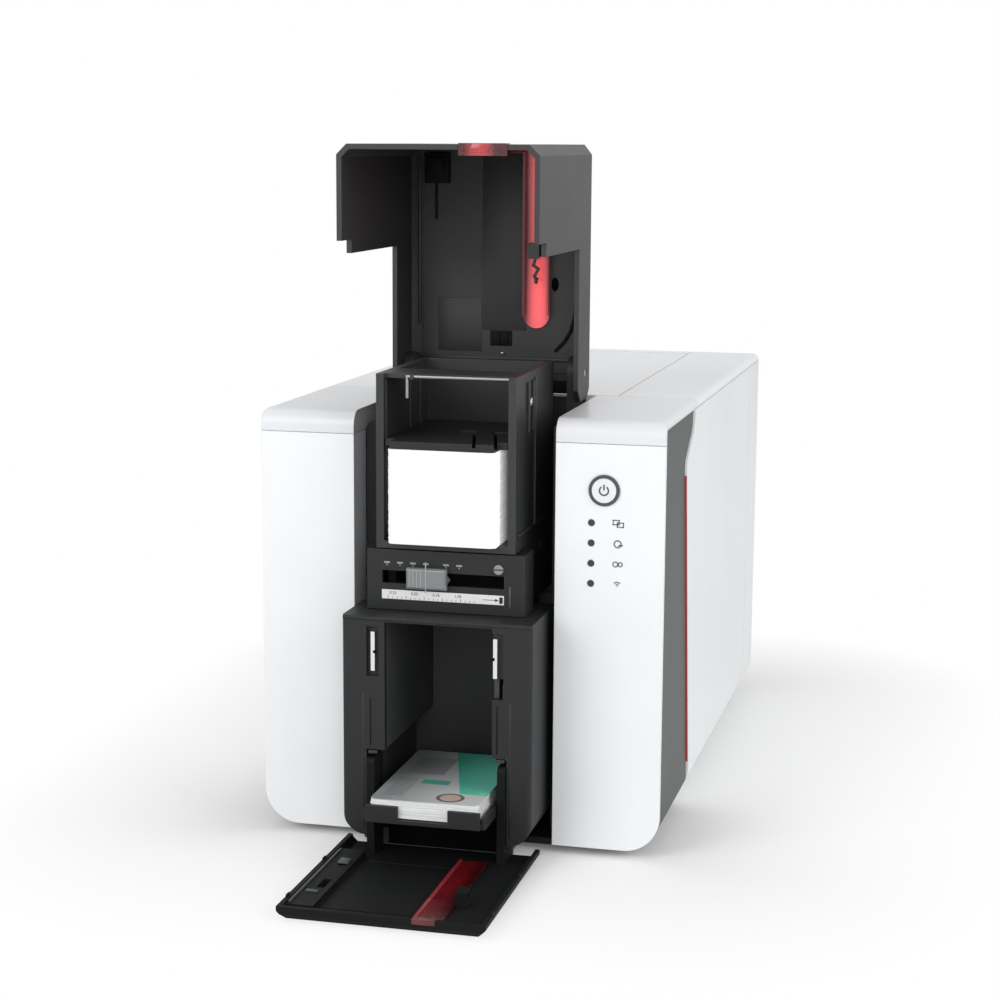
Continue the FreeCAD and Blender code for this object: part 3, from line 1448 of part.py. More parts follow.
def gauge():
    """Thickness gauge under the feeder: panel, slider, scale strip and screw."""
    front = "-feeder_reach"
    back = "feeder_leg_front - running_gap"
    low = "box_top + running_gap"
    face = wide("gauge_face", "gauge_half", (front, front + " + gauge_wall"), (low, "gauge_top"))
    lid = wide("gauge_lid", "gauge_half", (front, back), ("gauge_top - gauge_side_wall", "gauge_top"))
    cheeks = []
    for side, near in (("left", "module_x - gauge_half"), ("right", "module_x + gauge_half - gauge_side_wall")):
        cheeks.append(slab(
            "gauge_cheek_" + side, (near, near + " + gauge_side_wall"), (front, back), (low, "gauge_top")))
    slot = slab(
        "gauge_slot", ("module_x - gauge_slot_left", "module_x + gauge_slot_right"),
        (front + " - overrun", front + " + gauge_wall + overrun"),
        ("gauge_slot_low", "gauge_slot_low + gauge_slot_height"))
    hole = rod(
        "gauge_screw_hole", "screw_shank", "gauge_wall + 2 * overrun", "module_x + gauge_screw_x",
        front + " - overrun", "gauge_screw_z", "Y")
    piece("gauge_panel", cut("gauge", fuse("gauge_body", [face, lid] + cheeks), slot, hole))

    left = "module_x - slider_left"
    block = slab(
        "slider_block", (left, left + " + slider_width"),
        (front + " - slider_depth", front + " - running_gap"),
        ("slider_low", "slider_low + slider_height"))
    grip = bevelled("slider_grip", block, {
        "x-y-": "slider_edge", "x+y-": "slider_edge", "y-z-": "slider_edge", "y-z+": "slider_edge"})
    stem_x = left + " + (slider_width - slider_stem_width) / 2"
    stem = slab(
        "slider_stem", (stem_x, stem_x + " + slider_stem_width"),
        (front + " - running_gap", front + " + gauge_wall + running_gap"),
        ("gauge_slot_low + running_gap", "gauge_slot_low + gauge_slot_height - running_gap"))
    flange = slab(
        "slider_flange_plate", (stem_x, stem_x + " + slider_stem_width"),
        (front + " + gauge_wall + running_gap", front + " + gauge_wall + running_gap + slider_flange"),
        ("slider_low", "slider_low + slider_height"))
    piece("gauge_slider", fuse("slider", [grip, stem, flange]))
    piece("gauge_label", slab(
        "label_plate", ("module_x - gauge_slot_left", "module_x + gauge_slot_right"),
        (front + " - label_wall", front), ("label_low", "label_low + label_height")))


def controls():
    """Power button, its ring, the lights and the board behind them."""
    flange = rod("ring_flange", "ring_radius", "ring_proud", "button_x", "-ring_proud", "button_z", "Y")
    sleeve = rod("ring_tube", "ring_sleeve", "ring_sleeve_depth", "button_x", "0", "button_z", "Y")
    bore = rod(
        "ring_bore", "button_radius + button_play", "ring_sleeve_depth + ring_proud + 2 * overrun",
        "button_x", "-ring_proud - overrun", "button_z", "Y")
    piece("button_ring", cut("ring", fuse("ring_body", [flange, sleeve]), bore))
    cap = rod(
        "button_cap", "button_radius", "button_back + button_proud", "button_x", "-button_proud",
        "button_z", "Y")
    stop = rod(
        "button_stop", "button_radius + button_flange", "button_flange_wall", "button_x", "button_back",
        "button_z", "Y")
    piece("power_button", fuse("button", [cap, stop]))
    lights = []
    for index in range(4):
        lights.append(rod(
            "light_%d" % index, "light_radius", "board_front + light_proud", "light_x", "-light_proud",
            "light_top - %d * light_spacing" % index, "Y"))
    group = doc.addObject("Part::Compound", "light_group")
    group.Links = lights
    piece("status_lights", group)
    piece("control_board", slab(
        "control_plate", ("light_x - board_margin", "button_x + 2 * board_margin"),
        ("board_front", "board_front + board_wall"),
        ("light_top - 5 * light_spacing", "button_z + 2 * board_margin")))


def chassis():
    """Steel plates, tie rods, bushes, rollers, motor and belt."""
    low = "base_top + running_gap"
    shafts = (
        ("drive", "drive_y", "drive_z"), ("cleaning", "drive_y", "cleaning_z"),
        ("platen", "platen_y", "platen_z"))
    for side, near, far in (
        ("left", "module_x - chassis_out", "module_x - chassis_half"),
        ("right", "module_x + chassis_half", "module_x + chassis_out"),
    ):
        block = slab(
            side + "_chassis_block", (near, far), ("chassis_front", "chassis_back"), (low, "chassis_top"))
        plate = rounded(side + "_chassis_blank", block, {"y-z+": "chassis_edge", "y+z+": "chassis_edge"})
        span = (near + " - overrun", far + " + overrun")
        tools = [slab(
            side + "_window", span,
            ("motor_y + motor_radius + chassis_window_inset", "chassis_back - chassis_window_inset"),
            ("chassis_window_low", "chassis_window_high"))]
        for name, y, z in shafts:
            tools.append(cross_rod("%s_%s_seat" % (side, name), "shaft_bore + bush_wall", span, y, z))
        for name, y in (("supply", "supply_y"), ("takeup", "takeup_y")):
            tools.append(cross_rod(
                "%s_%s_seat" % (side, name), "spool_shaft + shaft_clearance", span, y, "spool_z"))
        if side == "right":
            tools.append(cross_rod("motor_seat", "motor_shaft + running_gap", span, "motor_y", "motor_z"))
        piece(side + "_chassis_plate", cut(side + "_chassis", plate, *tools))
    rods = []
    for name, y, z in (
        ("front", "tie_front", "tie_low"), ("back", "tie_back", "tie_low"), ("top", "tie_back", "tie_high")):
        rods.append(cross_rod(
            "tie_" + name, "tie_radius", ("module_x - chassis_half", "module_x + chassis_half"), y, z))
    group = doc.addObject("Part::Compound", "tie_group")
    group.Links = rods
    piece("tie_rods", group)
    bushes = []
    for side, near, far in (
        ("left", "module_x - chassis_out", "module_x - chassis_half"),
        ("right", "module_x + chassis_half", "module_x + chassis_out"),
    ):
        for name, y, z in shafts:
            body = cross_rod("%s_%s_bush" % (side, name), "shaft_bore + bush_wall", (near, far), y, z)
            hole = cross_rod(
                "%s_%s_bush_hole" % (side, name), "shaft_bore", (near + " - overrun", far + " + overrun"), y,
                z)
            bushes.append(cut("%s_%s_bush_ring" % (side, name), body, hole))
    group = doc.addObject("Part::Compound", "bush_group")
    group.Links = bushes
    piece("roller_bushes", group)
    journal = "chassis_out + running_gap"
    roller("drive_roller", "drive_radius", "drive_y", "drive_z", journal, "drive_pulley")
    roller("cleaning_roller", "drive_radius", "drive_y", "cleaning_z", journal, "0")
    roller("platen_roller", "platen_radius", "platen_y", "platen_z", journal, "platen_pulley")
    can = cross_rod(
        "motor_can", "motor_radius", ("module_x + chassis_half - motor_length", "module_x + chassis_half"),
        "motor_y", "motor_z")
    seat = cross_rod(
        "motor_bore", "motor_shaft + shaft_clearance",
        ("module_x + chassis_half - motor_shaft_seat", "module_x + chassis_half + overrun"), "motor_y",
        "motor_z")
    piece("drive_motor", cut("motor", can, seat))
    start = "chassis_out + pulley_stand"
    piece("motor_pulley", turned("motor_pulley_body", [
        ("chassis_half - motor_shaft_seat + running_gap", "motor_shaft"),
        (start, "motor_shaft"),
        (start, "motor_pulley"),
        (start + " + pulley_width", "motor_pulley"),
    ], "module_x", "motor_y", "motor_z"))
    drive_belt()


def hull_of_circles(circles):
    """Closed wire of tangent lines and arcs round circles that are given clockwise, seen from +X."""
    edges = []
    count = len(circles)
    lines = []
    for index in range(count):
        (ay, az, ar), (by, bz, br) = circles[index], circles[(index + 1) % count]
        length = math.dist((ay, az), (by, bz))
        along = math.atan2(bz - az, by - ay)
        tilt = along + math.acos((ar - br) / length)
        normal = (math.cos(tilt), math.sin(tilt))
        lines.append(((ay + ar * normal[0], az + ar * normal[1]), (by + br * normal[0], bz + br * normal[1])))
    for index in range(count):
        start, end = lines[index]
        edges.append(Part.makeLine(FreeCAD.Vector(0, *start), FreeCAD.Vector(0, *end)))
        cy, cz, cr = circles[(index + 1) % count]
        leave = lines[(index + 1) % count][0]
        first = math.atan2(end[1] - cz, end[0] - cy)
        last = math.atan2(leave[1] - cz, leave[0] - cy)
        while last > first:
            last -= 2 * math.pi
        middle = (first + last) / 2
        spot = FreeCAD.Vector(0, cy + cr * math.cos(middle), cz + cr * math.sin(middle))
        edges.append(Part.Arc(FreeCAD.Vector(0, *end), spot, FreeCAD.Vector(0, *leave)).toShape())
    return Part.Wire(edges)


def drive_belt():
    """Toothed belt as one closed band round the three pulleys."""
    stops = (("motor_y", "motor_z", "motor_pulley"), ("drive_y", "drive_z", "drive_pulley"),
             ("platen_y", "platen_z", "platen_pulley"))
    loops = []
    for grow in ("belt_gap + belt_wall", "belt_gap"):
        circles = [(number(y), number(z), number(radius + " + " + grow)) for y, z, radius in stops]
        loops.append(hull_of_circles(circles))
    width = FreeCAD.Vector(number("pulley_width"), 0, 0)
    band = Part.Face(loops[0]).extrude(width).cut(Part.Face(loops[1]).extrude(width))
    belt = doc.addObject("Part::Feature", "belt_band")
    belt.Shape = band
    place(belt, "module_x + chassis_out + pulley_stand", "0", "0")
    piece("drive_belt", belt)


def spool(label, wound, y):
    """Ribbon spool between the chassis plates."""
    rim = wound + " + spool_flange"
    stations = [
        ("-chassis_out + running_gap", "spool_shaft"),
        ("-spool_half - spool_flange_wall", "spool_shaft"),
        ("-spool_half - spool_flange_wall", rim),
        ("-spool_half", rim),
        ("-spool_half", wound),
        ("spool_half", wound),
        ("spool_half", rim),
        ("spool_half + spool_flange_wall", rim),
        ("spool_half + spool_flange_wall", "spool_shaft"),
        ("chassis_out - running_gap", "spool_shaft"),
    ]
    piece(label, turned(label + "_body", stations, "module_x", y, "spool_z"))


def ribbon():
    """Spools, the film between them, and the print head over the platen."""
    spool("supply_spool", "supply_wound", "supply_y")
    spool("takeup_spool", "takeup_wound", "takeup_y")
    near_y = "takeup_y - (takeup_wound + running_gap%s) * sin(takeup_slope)"
    near_z = "spool_z - (takeup_wound + running_gap%s) * cos(takeup_slope)"
    far_y = "supply_y + (supply_wound + running_gap%s) * sin(supply_slope)"
    far_z = "spool_z - (supply_wound + running_gap%s) * cos(supply_slope)"
    thick = " + film_wall"
    points = [
        ("platen_y - film_flat", "film_low"),
        ("platen_y + film_flat", "film_low"),
        (far_y % thick, far_z % thick),
        (far_y % "", far_z % ""),
        ("platen_y + film_flat", "film_low + film_wall"),
        ("platen_y - film_flat", "film_low + film_wall"),
        (near_y % "", near_z % ""),
        (near_y % thick, near_z % thick),
    ]
    piece("ribbon_film", side_prism("film", points, ("module_x - film_half", "module_x + film_half")))
    block = wide(
        "head_block", "head_half", ("platen_y - head_length / 2", "platen_y + head_length / 2"),
        ("head_low", "head_high"))
    heater = wide(
        "head_heater", "head_half", ("platen_y - heater_length / 2", "platen_y + heater_length / 2"),
        ("film_low + film_wall + heater_gap", "head_low"))
    piece("print_head", fuse("head", [block, heater]))
    span = ("platen_y - carrier_length / 2", "platen_y + carrier_length / 2")
    beam = wide("carrier_beam_block", "carrier_half", span, ("head_high", "head_high + carrier_beam"))
    shelf = wide(
        "carrier_shelf", "carrier_half", span,
        ("body_height - shell_wall - carrier_wall", "body_height - shell_wall"))
    arms = []
    for side, near in (("left", "module_x - carrier_half"), ("right", "module_x + carrier_half - carrier_wall")):
        arms.append(slab(
            "carrier_arm_" + side, (near, near + " + carrier_wall"), span,
            ("head_high", "body_height - shell_wall")))
    piece("head_carrier", fuse("carrier", [beam, shelf] + arms))


def electronics():
    """Main board, power supply, mains inlet and data ports."""
    out = "-main_board_x"
    board = slab(
        "main_plate", (out + " - board_wall", out), ("main_board_front", "main_board_back"),
        ("main_board_low", "main_board_high"))
    parts = [board]
    for column, y in (
            ("front", "main_board_front + standoff_inset"), ("back", "main_board_back - standoff_inset")):
        for row, z in (
                ("low", "main_board_low + standoff_inset"), ("high", "main_board_high - standoff_inset")):
            parts.append(cross_rod(
                "standoff_%s_%s" % (row, column), "standoff_radius", (out, "module_x - chassis_out"), y, z))
    for index, z in enumerate(("main_board_low + chip_side", "main_board_high - 2 * chip_side")):
        parts.append(slab(
            "chip_%d" % index, (out + " - board_wall - chip_wall", out + " - board_wall"),
            ("main_board_front + 2 * chip_side", "main_board_front + 3 * chip_side"),
            (z, z + " + chip_side")))
    piece("main_board", fuse("main_board_body", parts))
    piece("power_supply", slab(
        "supply_case", ("supply_left", "supply_left + supply_width"), ("supply_front", "supply_back"),
        ("base_top + running_gap", "supply_high")))
    back = "body_depth - rear_inset"
    body = slab(
        "inlet_body", ("inlet_left", "inlet_left + inlet_width"), (back + " - inlet_depth", back),
        ("inlet_low", "inlet_low + inlet_height"))
    socket = slab(
        "inlet_socket",
        ("inlet_left + inlet_socket_margin", "inlet_left + inlet_width - inlet_socket_margin"),
        (back + " - inlet_socket_depth", back + " + overrun"),
        ("inlet_low + inlet_socket_margin", "inlet_low + inlet_height - inlet_socket_margin"))
    pins = []
    for index in range(3):
        x = "inlet_left + inlet_width / 2 + (%d - 1) * 3 * inlet_pin - inlet_pin / 2" % index
        pins.append(slab(
            "inlet_pin_%d" % index, (x, x + " + inlet_pin"),
            (back + " - inlet_socket_depth - overrun", back + " - inlet_socket_depth + inlet_pin_length"),
            ("inlet_low + inlet_height / 2 - inlet_pin", "inlet_low + inlet_height / 2 + inlet_pin")))
    piece("power_inlet", fuse("inlet", [cut("inlet_shell", body, socket)] + pins))
    ports = slab(
        "ports_body", ("ports_left", "ports_left + ports_width"), (back + " - ports_depth", back),
        ("ports_low", "ports_low + ports_height"))
    mouths = []
    for index in range(2):
        x = "ports_left + %d * ports_width / 2 + port_margin" % index
        mouths.append(slab(
            "port_mouth_%d" % index, (x, x + " + ports_width / 2 - 2 * port_margin"),
            (back + " - port_mouth_depth", back + " + overrun"),
            ("ports_low + port_margin", "ports_low + ports_height - port_margin")))
    piece("data_ports", cut("ports", ports, *mouths))


def check():
    """Stop on any failed object or bad shape, before anything is written."""
    doc.recompute()
    for obj in doc.Objects:
        if any(state in ("Invalid", "Error") for state in obj.State):
            raise RuntimeError("failed object %s %s" % (obj.Name, obj.State))
    for label, obj in pieces.items():
        shape = obj.Shape
        if shape.isNull() or not shape.isValid() or not shape.Solids:
            raise RuntimeError("bad shape " + label)


def write():
    os.makedirs("parts", exist_ok=True)
    for label, obj in pieces.items():
        obj.Shape.exportStep(os.path.join("parts", label + ".step"))
    print("%d pieces" % len(pieces))


def main():
    fill_sheets()
    outer, shell = envelope()
    base()
    fascias(outer)
    front_caps()
    side_walls(shell)
    top_cover(shell)
    top_rail(shell)
    rear_cover(shell)
    liner()
    hood()
    output_box()
    output_chute()
    output_tray()
    cards()
    output_door()
    hinge_pins()
    feeder()
    gauge()
    controls()
    chassis()
    ribbon()
    electronics()
    check()
    write()


main()
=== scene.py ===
"""Looks of a desktop id card printer whose feeder hood and output door stand open."""

from __future__ import annotations

import logging
import math
import random
from dataclasses import dataclass, field
from enum import Enum
from typing import ClassVar, Sequence

import bmesh
import bpy
from mathutils import Matrix, Vector

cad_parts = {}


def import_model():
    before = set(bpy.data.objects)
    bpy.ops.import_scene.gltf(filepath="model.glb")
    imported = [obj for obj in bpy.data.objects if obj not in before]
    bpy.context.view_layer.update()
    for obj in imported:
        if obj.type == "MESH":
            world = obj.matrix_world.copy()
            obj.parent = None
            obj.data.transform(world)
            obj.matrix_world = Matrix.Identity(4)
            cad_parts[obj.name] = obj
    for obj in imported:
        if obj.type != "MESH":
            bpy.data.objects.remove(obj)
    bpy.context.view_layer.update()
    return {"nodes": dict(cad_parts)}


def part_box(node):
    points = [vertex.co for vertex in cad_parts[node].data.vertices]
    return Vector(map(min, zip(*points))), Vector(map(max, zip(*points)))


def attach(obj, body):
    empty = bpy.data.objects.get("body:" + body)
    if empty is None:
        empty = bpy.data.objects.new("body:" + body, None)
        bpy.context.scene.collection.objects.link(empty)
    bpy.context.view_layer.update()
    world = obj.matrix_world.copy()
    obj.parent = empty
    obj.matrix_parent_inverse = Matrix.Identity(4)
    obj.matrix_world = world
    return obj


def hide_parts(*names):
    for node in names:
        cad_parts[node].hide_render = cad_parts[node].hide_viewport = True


log = logging.getLogger("card_printer")
MM = 0.001
SUNK = 0.1  # depth of a small part in the face under it, in millimetres
PROUD = 0.12  # height of a drawn line over its face, in millimetres
CORNER_STEPS = 6  # facets in each corner of a card
FONT_SIZE = 1.4  # size of the font that gives figures of height one
INK_DEPTH = 0.03  # half the thickness of printed figures, in millimetres
WHITE = (1.0, 1.0, 1.0, 1.0)

Point = tuple[float, float, float]
Colour = tuple[float, float, float]


def linear(red: float, green: float, blue: float) -> Colour:
    """Turn a colour as seen on a screen, from 0 to 255, into linear light.

    Args:
        red: Red level.
        green: Green level.
        blue: Blue level.

    Returns:
        The three linear levels from 0 to 1.
    """
    def level(value: float) -> float:
        """Linear level of one channel."""
        share = value / 255.0
        return share / 12.92 if share <= 0.04045 else ((share + 0.055) / 1.055) ** 2.4

    return level(red), level(green), level(blue)


class Axis(Enum):
    """Direction that an outline is drawn out along."""

    X = 0
    Y = 1
    Z = 2

    def point(self, u: float, v: float, along: float) -> Vector:
        """Place outline coordinates in space.

        Args:
            u: Place on the first of the two other axes.
            v: Place on the second of them.
            along: Place on this axis.

        Returns:
            The point.
        """
        spread = [u, v]
        spread.insert(self.value, along)
        return Vector(spread)


class Signal:
    """A value socket of a node tree that can be used in arithmetic."""

    def __init__(self, tree: bpy.types.NodeTree, socket: bpy.types.NodeSocket) -> None:
        """Keep the socket and the tree that it is part of."""
        self.tree = tree
        self.socket = socket

    def _math(self, operation: str, *values: "Signal | float", clamp: bool = False) -> "Signal":
        """Add one Math node.

        Args:
            operation: Blender's name of the operation.
            values: Signals or plain numbers, in the order of the node's inputs.
            clamp: Whether the result is held from 0 to 1.

        Returns:
            The node's result.
        """
        node = self.tree.nodes.new("ShaderNodeMath")
        node.operation = operation
        node.use_clamp = clamp
        for slot, value in zip(node.inputs, values):
            if isinstance(value, Signal):
                self.tree.links.new(value.socket, slot)
            else:
                slot.default_value = value
        return Signal(self.tree, node.outputs[0])

    def __add__(self, other: "Signal | float") -> "Signal":
        """Sum."""
        return self._math("ADD", self, other)

    def __radd__(self, other: float) -> "Signal":
        """Sum with a number on the left."""
        return self._math("ADD", other, self)

    def __sub__(self, other: "Signal | float") -> "Signal":
        """Difference."""
        return self._math("SUBTRACT", self, other)

    def __rsub__(self, other: float) -> "Signal":
        """Difference from a number."""
        return self._math("SUBTRACT", other, self)

    def __mul__(self, other: "Signal | float") -> "Signal":
        """Product."""
        return self._math("MULTIPLY", self, other)

    def __rmul__(self, other: float) -> "Signal":
        """Product with a number on the left."""
        return self._math("MULTIPLY", other, self)

    def __gt__(self, other: "Signal | float") -> "Signal":
        """1 where this is larger."""
        return self._math("GREATER_THAN", self, other)

    def __lt__(self, other: "Signal | float") -> "Signal":
        """1 where this is smaller."""
        return self._math("LESS_THAN", self, other)

    def __pow__(self, other: float) -> "Signal":
        """Power."""
        return self._math("POWER", self, other)

    def held(self) -> "Signal":
        """The same value, held from 0 to 1."""
        return self._math("ADD", self, 0.0, clamp=True)

    def span(self, low: float, high: float) -> "Signal":
        """1 between two values."""
        return (self > low) * (self < high)

    def size(self) -> "Signal":
        """Value without its sign."""
        return self._math("ABSOLUTE", self)

    def fraction(self) -> "Signal":
        """Part after the decimal point."""
        return self._math("FRACT", self)


class Bench:
    """Node tree of one material while it is put together."""

    def __init__(self, name: str, owner: bpy.types.World | None = None) -> None:
        """Start with an empty tree.

        Args:
            name: Name of the new material.
            owner: World that is worked on instead of a new material.
        """
        self.material = owner or bpy.data.materials.new(name)
        self.material.use_nodes = True
        self.tree = self.material.node_tree
        self.tree.nodes.clear()

    def node(self, kind: str, settings: dict | None = None, inputs: dict | None = None) -> bpy.types.Node:
        """Add one node.

        Args:
            kind: Blender's type of the node.
            settings: Attributes that are set first.
            inputs: Values, signals or sockets by the input's name or identifier.

        Returns:
            The new node.
        """
        made = self.tree.nodes.new(kind)
        for key, value in (settings or {}).items():
            setattr(made, key, value)
        for key, value in (inputs or {}).items():
            slot = next(s for s in made.inputs if key in (s.identifier, s.name) and s.enabled)
            if isinstance(value, Signal):
                self.tree.links.new(value.socket, slot)
            elif isinstance(value, bpy.types.NodeSocket):
                self.tree.links.new(value, slot)
            else:
                slot.default_value = value
        return made

    def signal(self, node: bpy.types.Node, output: str | int = 0) -> Signal:
        """Take one output of a node as a signal."""
        return Signal(self.tree, node.outputs[output])

    def place(self) -> bpy.types.NodeSocket:
        """Position on the piece, in metres."""
        return self.node("ShaderNodeTexCoord").outputs["Object"]

    def along(self, axis: Axis) -> Signal:
        """Position along one axis, in metres."""
        split = self.node("ShaderNodeSeparateXYZ", {}, {"Vector": self.place()})
        return self.signal(split, axis.name)

    def stretched(self, scale: Point) -> bpy.types.NodeSocket:
        """Position on the piece with each axis scaled."""
        return self.node(
            "ShaderNodeMapping", {}, {"Vector": self.place(), "Scale": scale}).outputs["Vector"]

    def noise(self, per_metre: float, detail: float = 2.0, scale: Point = (1, 1, 1)) -> Signal:
        """Soft random pattern.

        Args:
            per_metre: Grains in one metre.
            detail: Number of finer layers.
            scale: Stretch of each axis.

        Returns:
            Level from 0 to 1.
        """
        made = self.node(
            "ShaderNodeTexNoise", {}, {"Vector": self.stretched(scale), "Scale": per_metre, "Detail": detail})
        return self.signal(made, "Fac")

    def mix(self, share: Signal | float, first: object, second: object) -> bpy.types.NodeSocket:
        """Colour between two colours.

        Args:
            share: 0 for the first colour, 1 for the second.
            first: Colour or socket.
            second: Colour or socket.

        Returns:
            Socket of the mixed colour.
        """
        made = self.node("ShaderNodeMix", {"data_type": "RGBA"}, {
            "Factor_Float": share, "A_Color": self._rgba(first), "B_Color": self._rgba(second)})
        return next(s for s in made.outputs if s.identifier == "Result_Color")

    @staticmethod
    def _rgba(colour: object) -> object:
        """Give a plain colour its alpha and leave a socket as it is."""
        return (*colour, 1.0) if isinstance(colour, tuple) else colour

    def rounded(self, radius: float) -> bpy.types.NodeSocket:
        """Normal that rounds sharp edges by a radius in millimetres."""
        return self.node("ShaderNodeBevel", {"samples": 4}, {"Radius": radius * MM}).outputs["Normal"]

    def edges(self, normal: bpy.types.NodeSocket, gain: float) -> Signal:
        """Narrow mask along the sharp edges.

        Args:
            normal: Rounded normal.
            gain: Strength of the mask.

        Returns:
            Level from 0 to 1.
        """
        true = self.node("ShaderNodeNewGeometry").outputs["Normal"]
        dot = self.node(
            "ShaderNodeVectorMath", {"operation": "DOT_PRODUCT"}, {"Vector": normal, "Vector_001": true})
        return ((1.0 - self.signal(dot, "Value")) * gain).held()

    def bump(self, height: Signal, relief: float, normal: bpy.types.NodeSocket) -> bpy.types.NodeSocket:
        """Lay a fine relief over a normal.

        Args:
            height: Level from 0 to 1.
            relief: Its height in millimetres.
            normal: Normal under it.

        Returns:
            The new normal.
        """
        return self.node("ShaderNodeBump", {}, {
            "Height": height, "Distance": relief * MM, "Strength": 1.0, "Normal": normal}).outputs["Normal"]

    def close(self, inputs: dict) -> bpy.types.Material:
        """Finish the material with one main shader."""
        shader = self.node("ShaderNodeBsdfPrincipled", {}, inputs)
        self.node("ShaderNodeOutputMaterial", {}, {"Surface": shader.outputs["BSDF"]})
        return self.material


@dataclass(frozen=True)
class Moulded:
    """Injection moulded plastic with spark grain, faint flow marks and rubbed edges."""

    DARK: ClassVar[float] = 0.93  # share of the colour in the darkest flow mark
    LIGHT: ClassVar[float] = 1.05  # and in the lightest
    FLOW: ClassVar[float] = 14.0  # flow marks in one metre
    RUBS: ClassVar[float] = 160.0  # rubbed spots in one metre
    EDGE_GAIN: ClassVar[float] = 5.0
    FLOW_ROUGH: ClassVar[float] = 0.10
    GRAIN_ROUGH: ClassVar[float] = 0.08

    name: str
    colour: Colour
    roughness: float = 0.45
    grain: float = 0.35
    relief: float = 0.012
    wear: float = 0.35
    wear_colour: Colour = (0.25, 0.25, 0.25)
    coat: float = 0.0
    round_off: float = 0.4
    specular: float = 0.4
    skin_top: float = 0.0
    skin: Colour = (0.0, 0.0, 0.0)

    def build(self) -> bpy.types.Material:
        """Make the material."""
        bench = Bench(self.name)
        soft = bench.rounded(self.round_off)
        cloud = bench.noise(self.FLOW, 3.0)
        fine = bench.noise(1000.0 / self.grain, 1.0)
        darker = tuple(self.DARK * c for c in self.colour)
        lighter = tuple(min(1.0, self.LIGHT * c) for c in self.colour)
        base = bench.mix(cloud, darker, lighter)
        if self.skin_top > 0.0:
            base = bench.mix(bench.along(Axis.Z) < self.skin_top * MM, base, self.skin)
        rub = bench.edges(soft, self.EDGE_GAIN) * bench.noise(self.RUBS, 3.0) * self.wear
        colour = bench.mix(rub.held(), base, self.wear_colour)
        even = self.roughness - (self.FLOW_ROUGH + self.GRAIN_ROUGH) / 2
        rough = (cloud * self.FLOW_ROUGH + fine * self.GRAIN_ROUGH + even).held()
        return bench.close({
            "Base Color": colour, "Roughness": rough, "Coat Weight": self.coat, "Coat Roughness": 0.2,
            "Specular IOR Level": self.specular, "Normal": bench.bump(fine, self.relief, soft)})


@dataclass(frozen=True)
class Tinted:
    """See-through red plastic of the level windows and the finger tab, with painted light: a painted
    highlight down a middle lane and along the edges, painted shade deepening towards the higher end, and an
    optional painted glow.
    """

    # Painted shade deepens the colour towards the higher end; LIFT lessens that painted shade everywhere.
    PAINTED_SHADE_FADE: ClassVar[float] = 0.2  # how much the colour deepens from the lower to the higher end
    STREAK: ClassVar[float] = 0.3
    LIFT: ClassVar[float] = 0.15  # how much the whole is kept brighter
    INDEX: ClassVar[float] = 1.49  # refraction of clear plastic

    name: str
    deep: Colour
    bright: Colour
    low: float
    high: float
    middle: float
    half: float
    painted_glow: float = 0.0

    def build(self) -> bpy.types.Material:
        """Make the material."""
        bench = Bench(self.name)
        soft = bench.rounded(0.3)
        share = ((bench.along(Axis.Z) - self.low * MM) * (1000.0 / (self.high - self.low))).held()
        streak = bench.noise(60.0, 2.0, (1.0, 1.0, 0.3)) * self.STREAK
        # painted highlight: brightest along the middle lane, darker away from it
        painted_highlight_lane = ((bench.along(Axis.X) - self.middle * MM).size() * (1000.0 / self.half)).held() ** 2.0
        # painted shade by height and by lane, plus random streaks
        painted_shade_and_streaks = (share * self.PAINTED_SHADE_FADE + painted_highlight_lane + streak - self.LIFT).held()
        colour = bench.mix(painted_shade_and_streaks, self.bright, self.deep)
        # painted highlight along the edges
        lit = bench.mix(bench.edges(soft, 3.0) * 0.5, colour, self.bright)
        return bench.close({
            "Base Color": lit, "Roughness": (streak + 0.14).held(), "Transmission Weight": 0.15,
            "IOR": self.INDEX, "Coat Weight": 0.4, "Coat Roughness": 0.1, "Emission Color": lit,
            "Emission Strength": self.painted_glow, "Normal": bench.bump(bench.noise(220.0, 1.0), 0.01, soft)})


@dataclass(frozen=True)
class Metal:
    """Drawn, rolled or turned metal with fine lines along one axis."""

    LINES: ClassVar[float] = 3000.0  # lines in one metre
    DRAWN: ClassVar[float] = 0.02  # how much they are drawn out
    DULL: ClassVar[float] = 0.82  # share of the colour in the dullest spots
    LINE_ROUGH: ClassVar[float] = 0.18
    SPOT_ROUGH: ClassVar[float] = 0.10

    name: str
    colour: Colour
    roughness: float = 0.28
    along: Axis = Axis.X

    def build(self) -> bpy.types.Material:
        """Make the material."""
        bench = Bench(self.name)
        soft = bench.rounded(0.15)
        stretch = [1.0, 1.0, 1.0]
        stretch[self.along.value] = self.DRAWN
        lines = bench.noise(self.LINES, 2.0, tuple(stretch))
        cloud = bench.noise(30.0, 3.0)
        colour = bench.mix(cloud * 0.6, self.colour, tuple(self.DULL * c for c in self.colour))
        even = self.roughness - 0.12
        rough = (lines * self.LINE_ROUGH + cloud * self.SPOT_ROUGH + even).held()
        return bench.close({
            "Base Color": colour, "Metallic": 1.0, "Roughness": rough,
            "Normal": bench.bump(lines, 0.004, soft)})


@dataclass(frozen=True)
class Rubber:
    """Ground or moulded rubber, dull, with faint dust."""

    GRAIN: ClassVar[float] = 2200.0  # grains in one metre
    DUST_SPOTS: ClassVar[float] = 90.0  # dusty spots in one metre
    DUST_COLOUR: ClassVar[Colour] = (0.35, 0.35, 0.34)

    name: str
    colour: Colour
    dust: float = 0.15

    def build(self) -> bpy.types.Material:
        """Make the material."""
        bench = Bench(self.name)
        soft = bench.rounded(0.3)
        fine = bench.noise(self.GRAIN, 2.0)
        dust = (bench.noise(self.DUST_SPOTS, 4.0) ** 3.0) * self.dust
        colour = bench.mix(dust.held(), self.colour, self.DUST_COLOUR)
        return bench.close({
            "Base Color": colour, "Roughness": (fine * 0.15 + 0.68).held(), "Specular IOR Level": 0.25,
            "Normal": bench.bump(fine, 0.02, soft)})


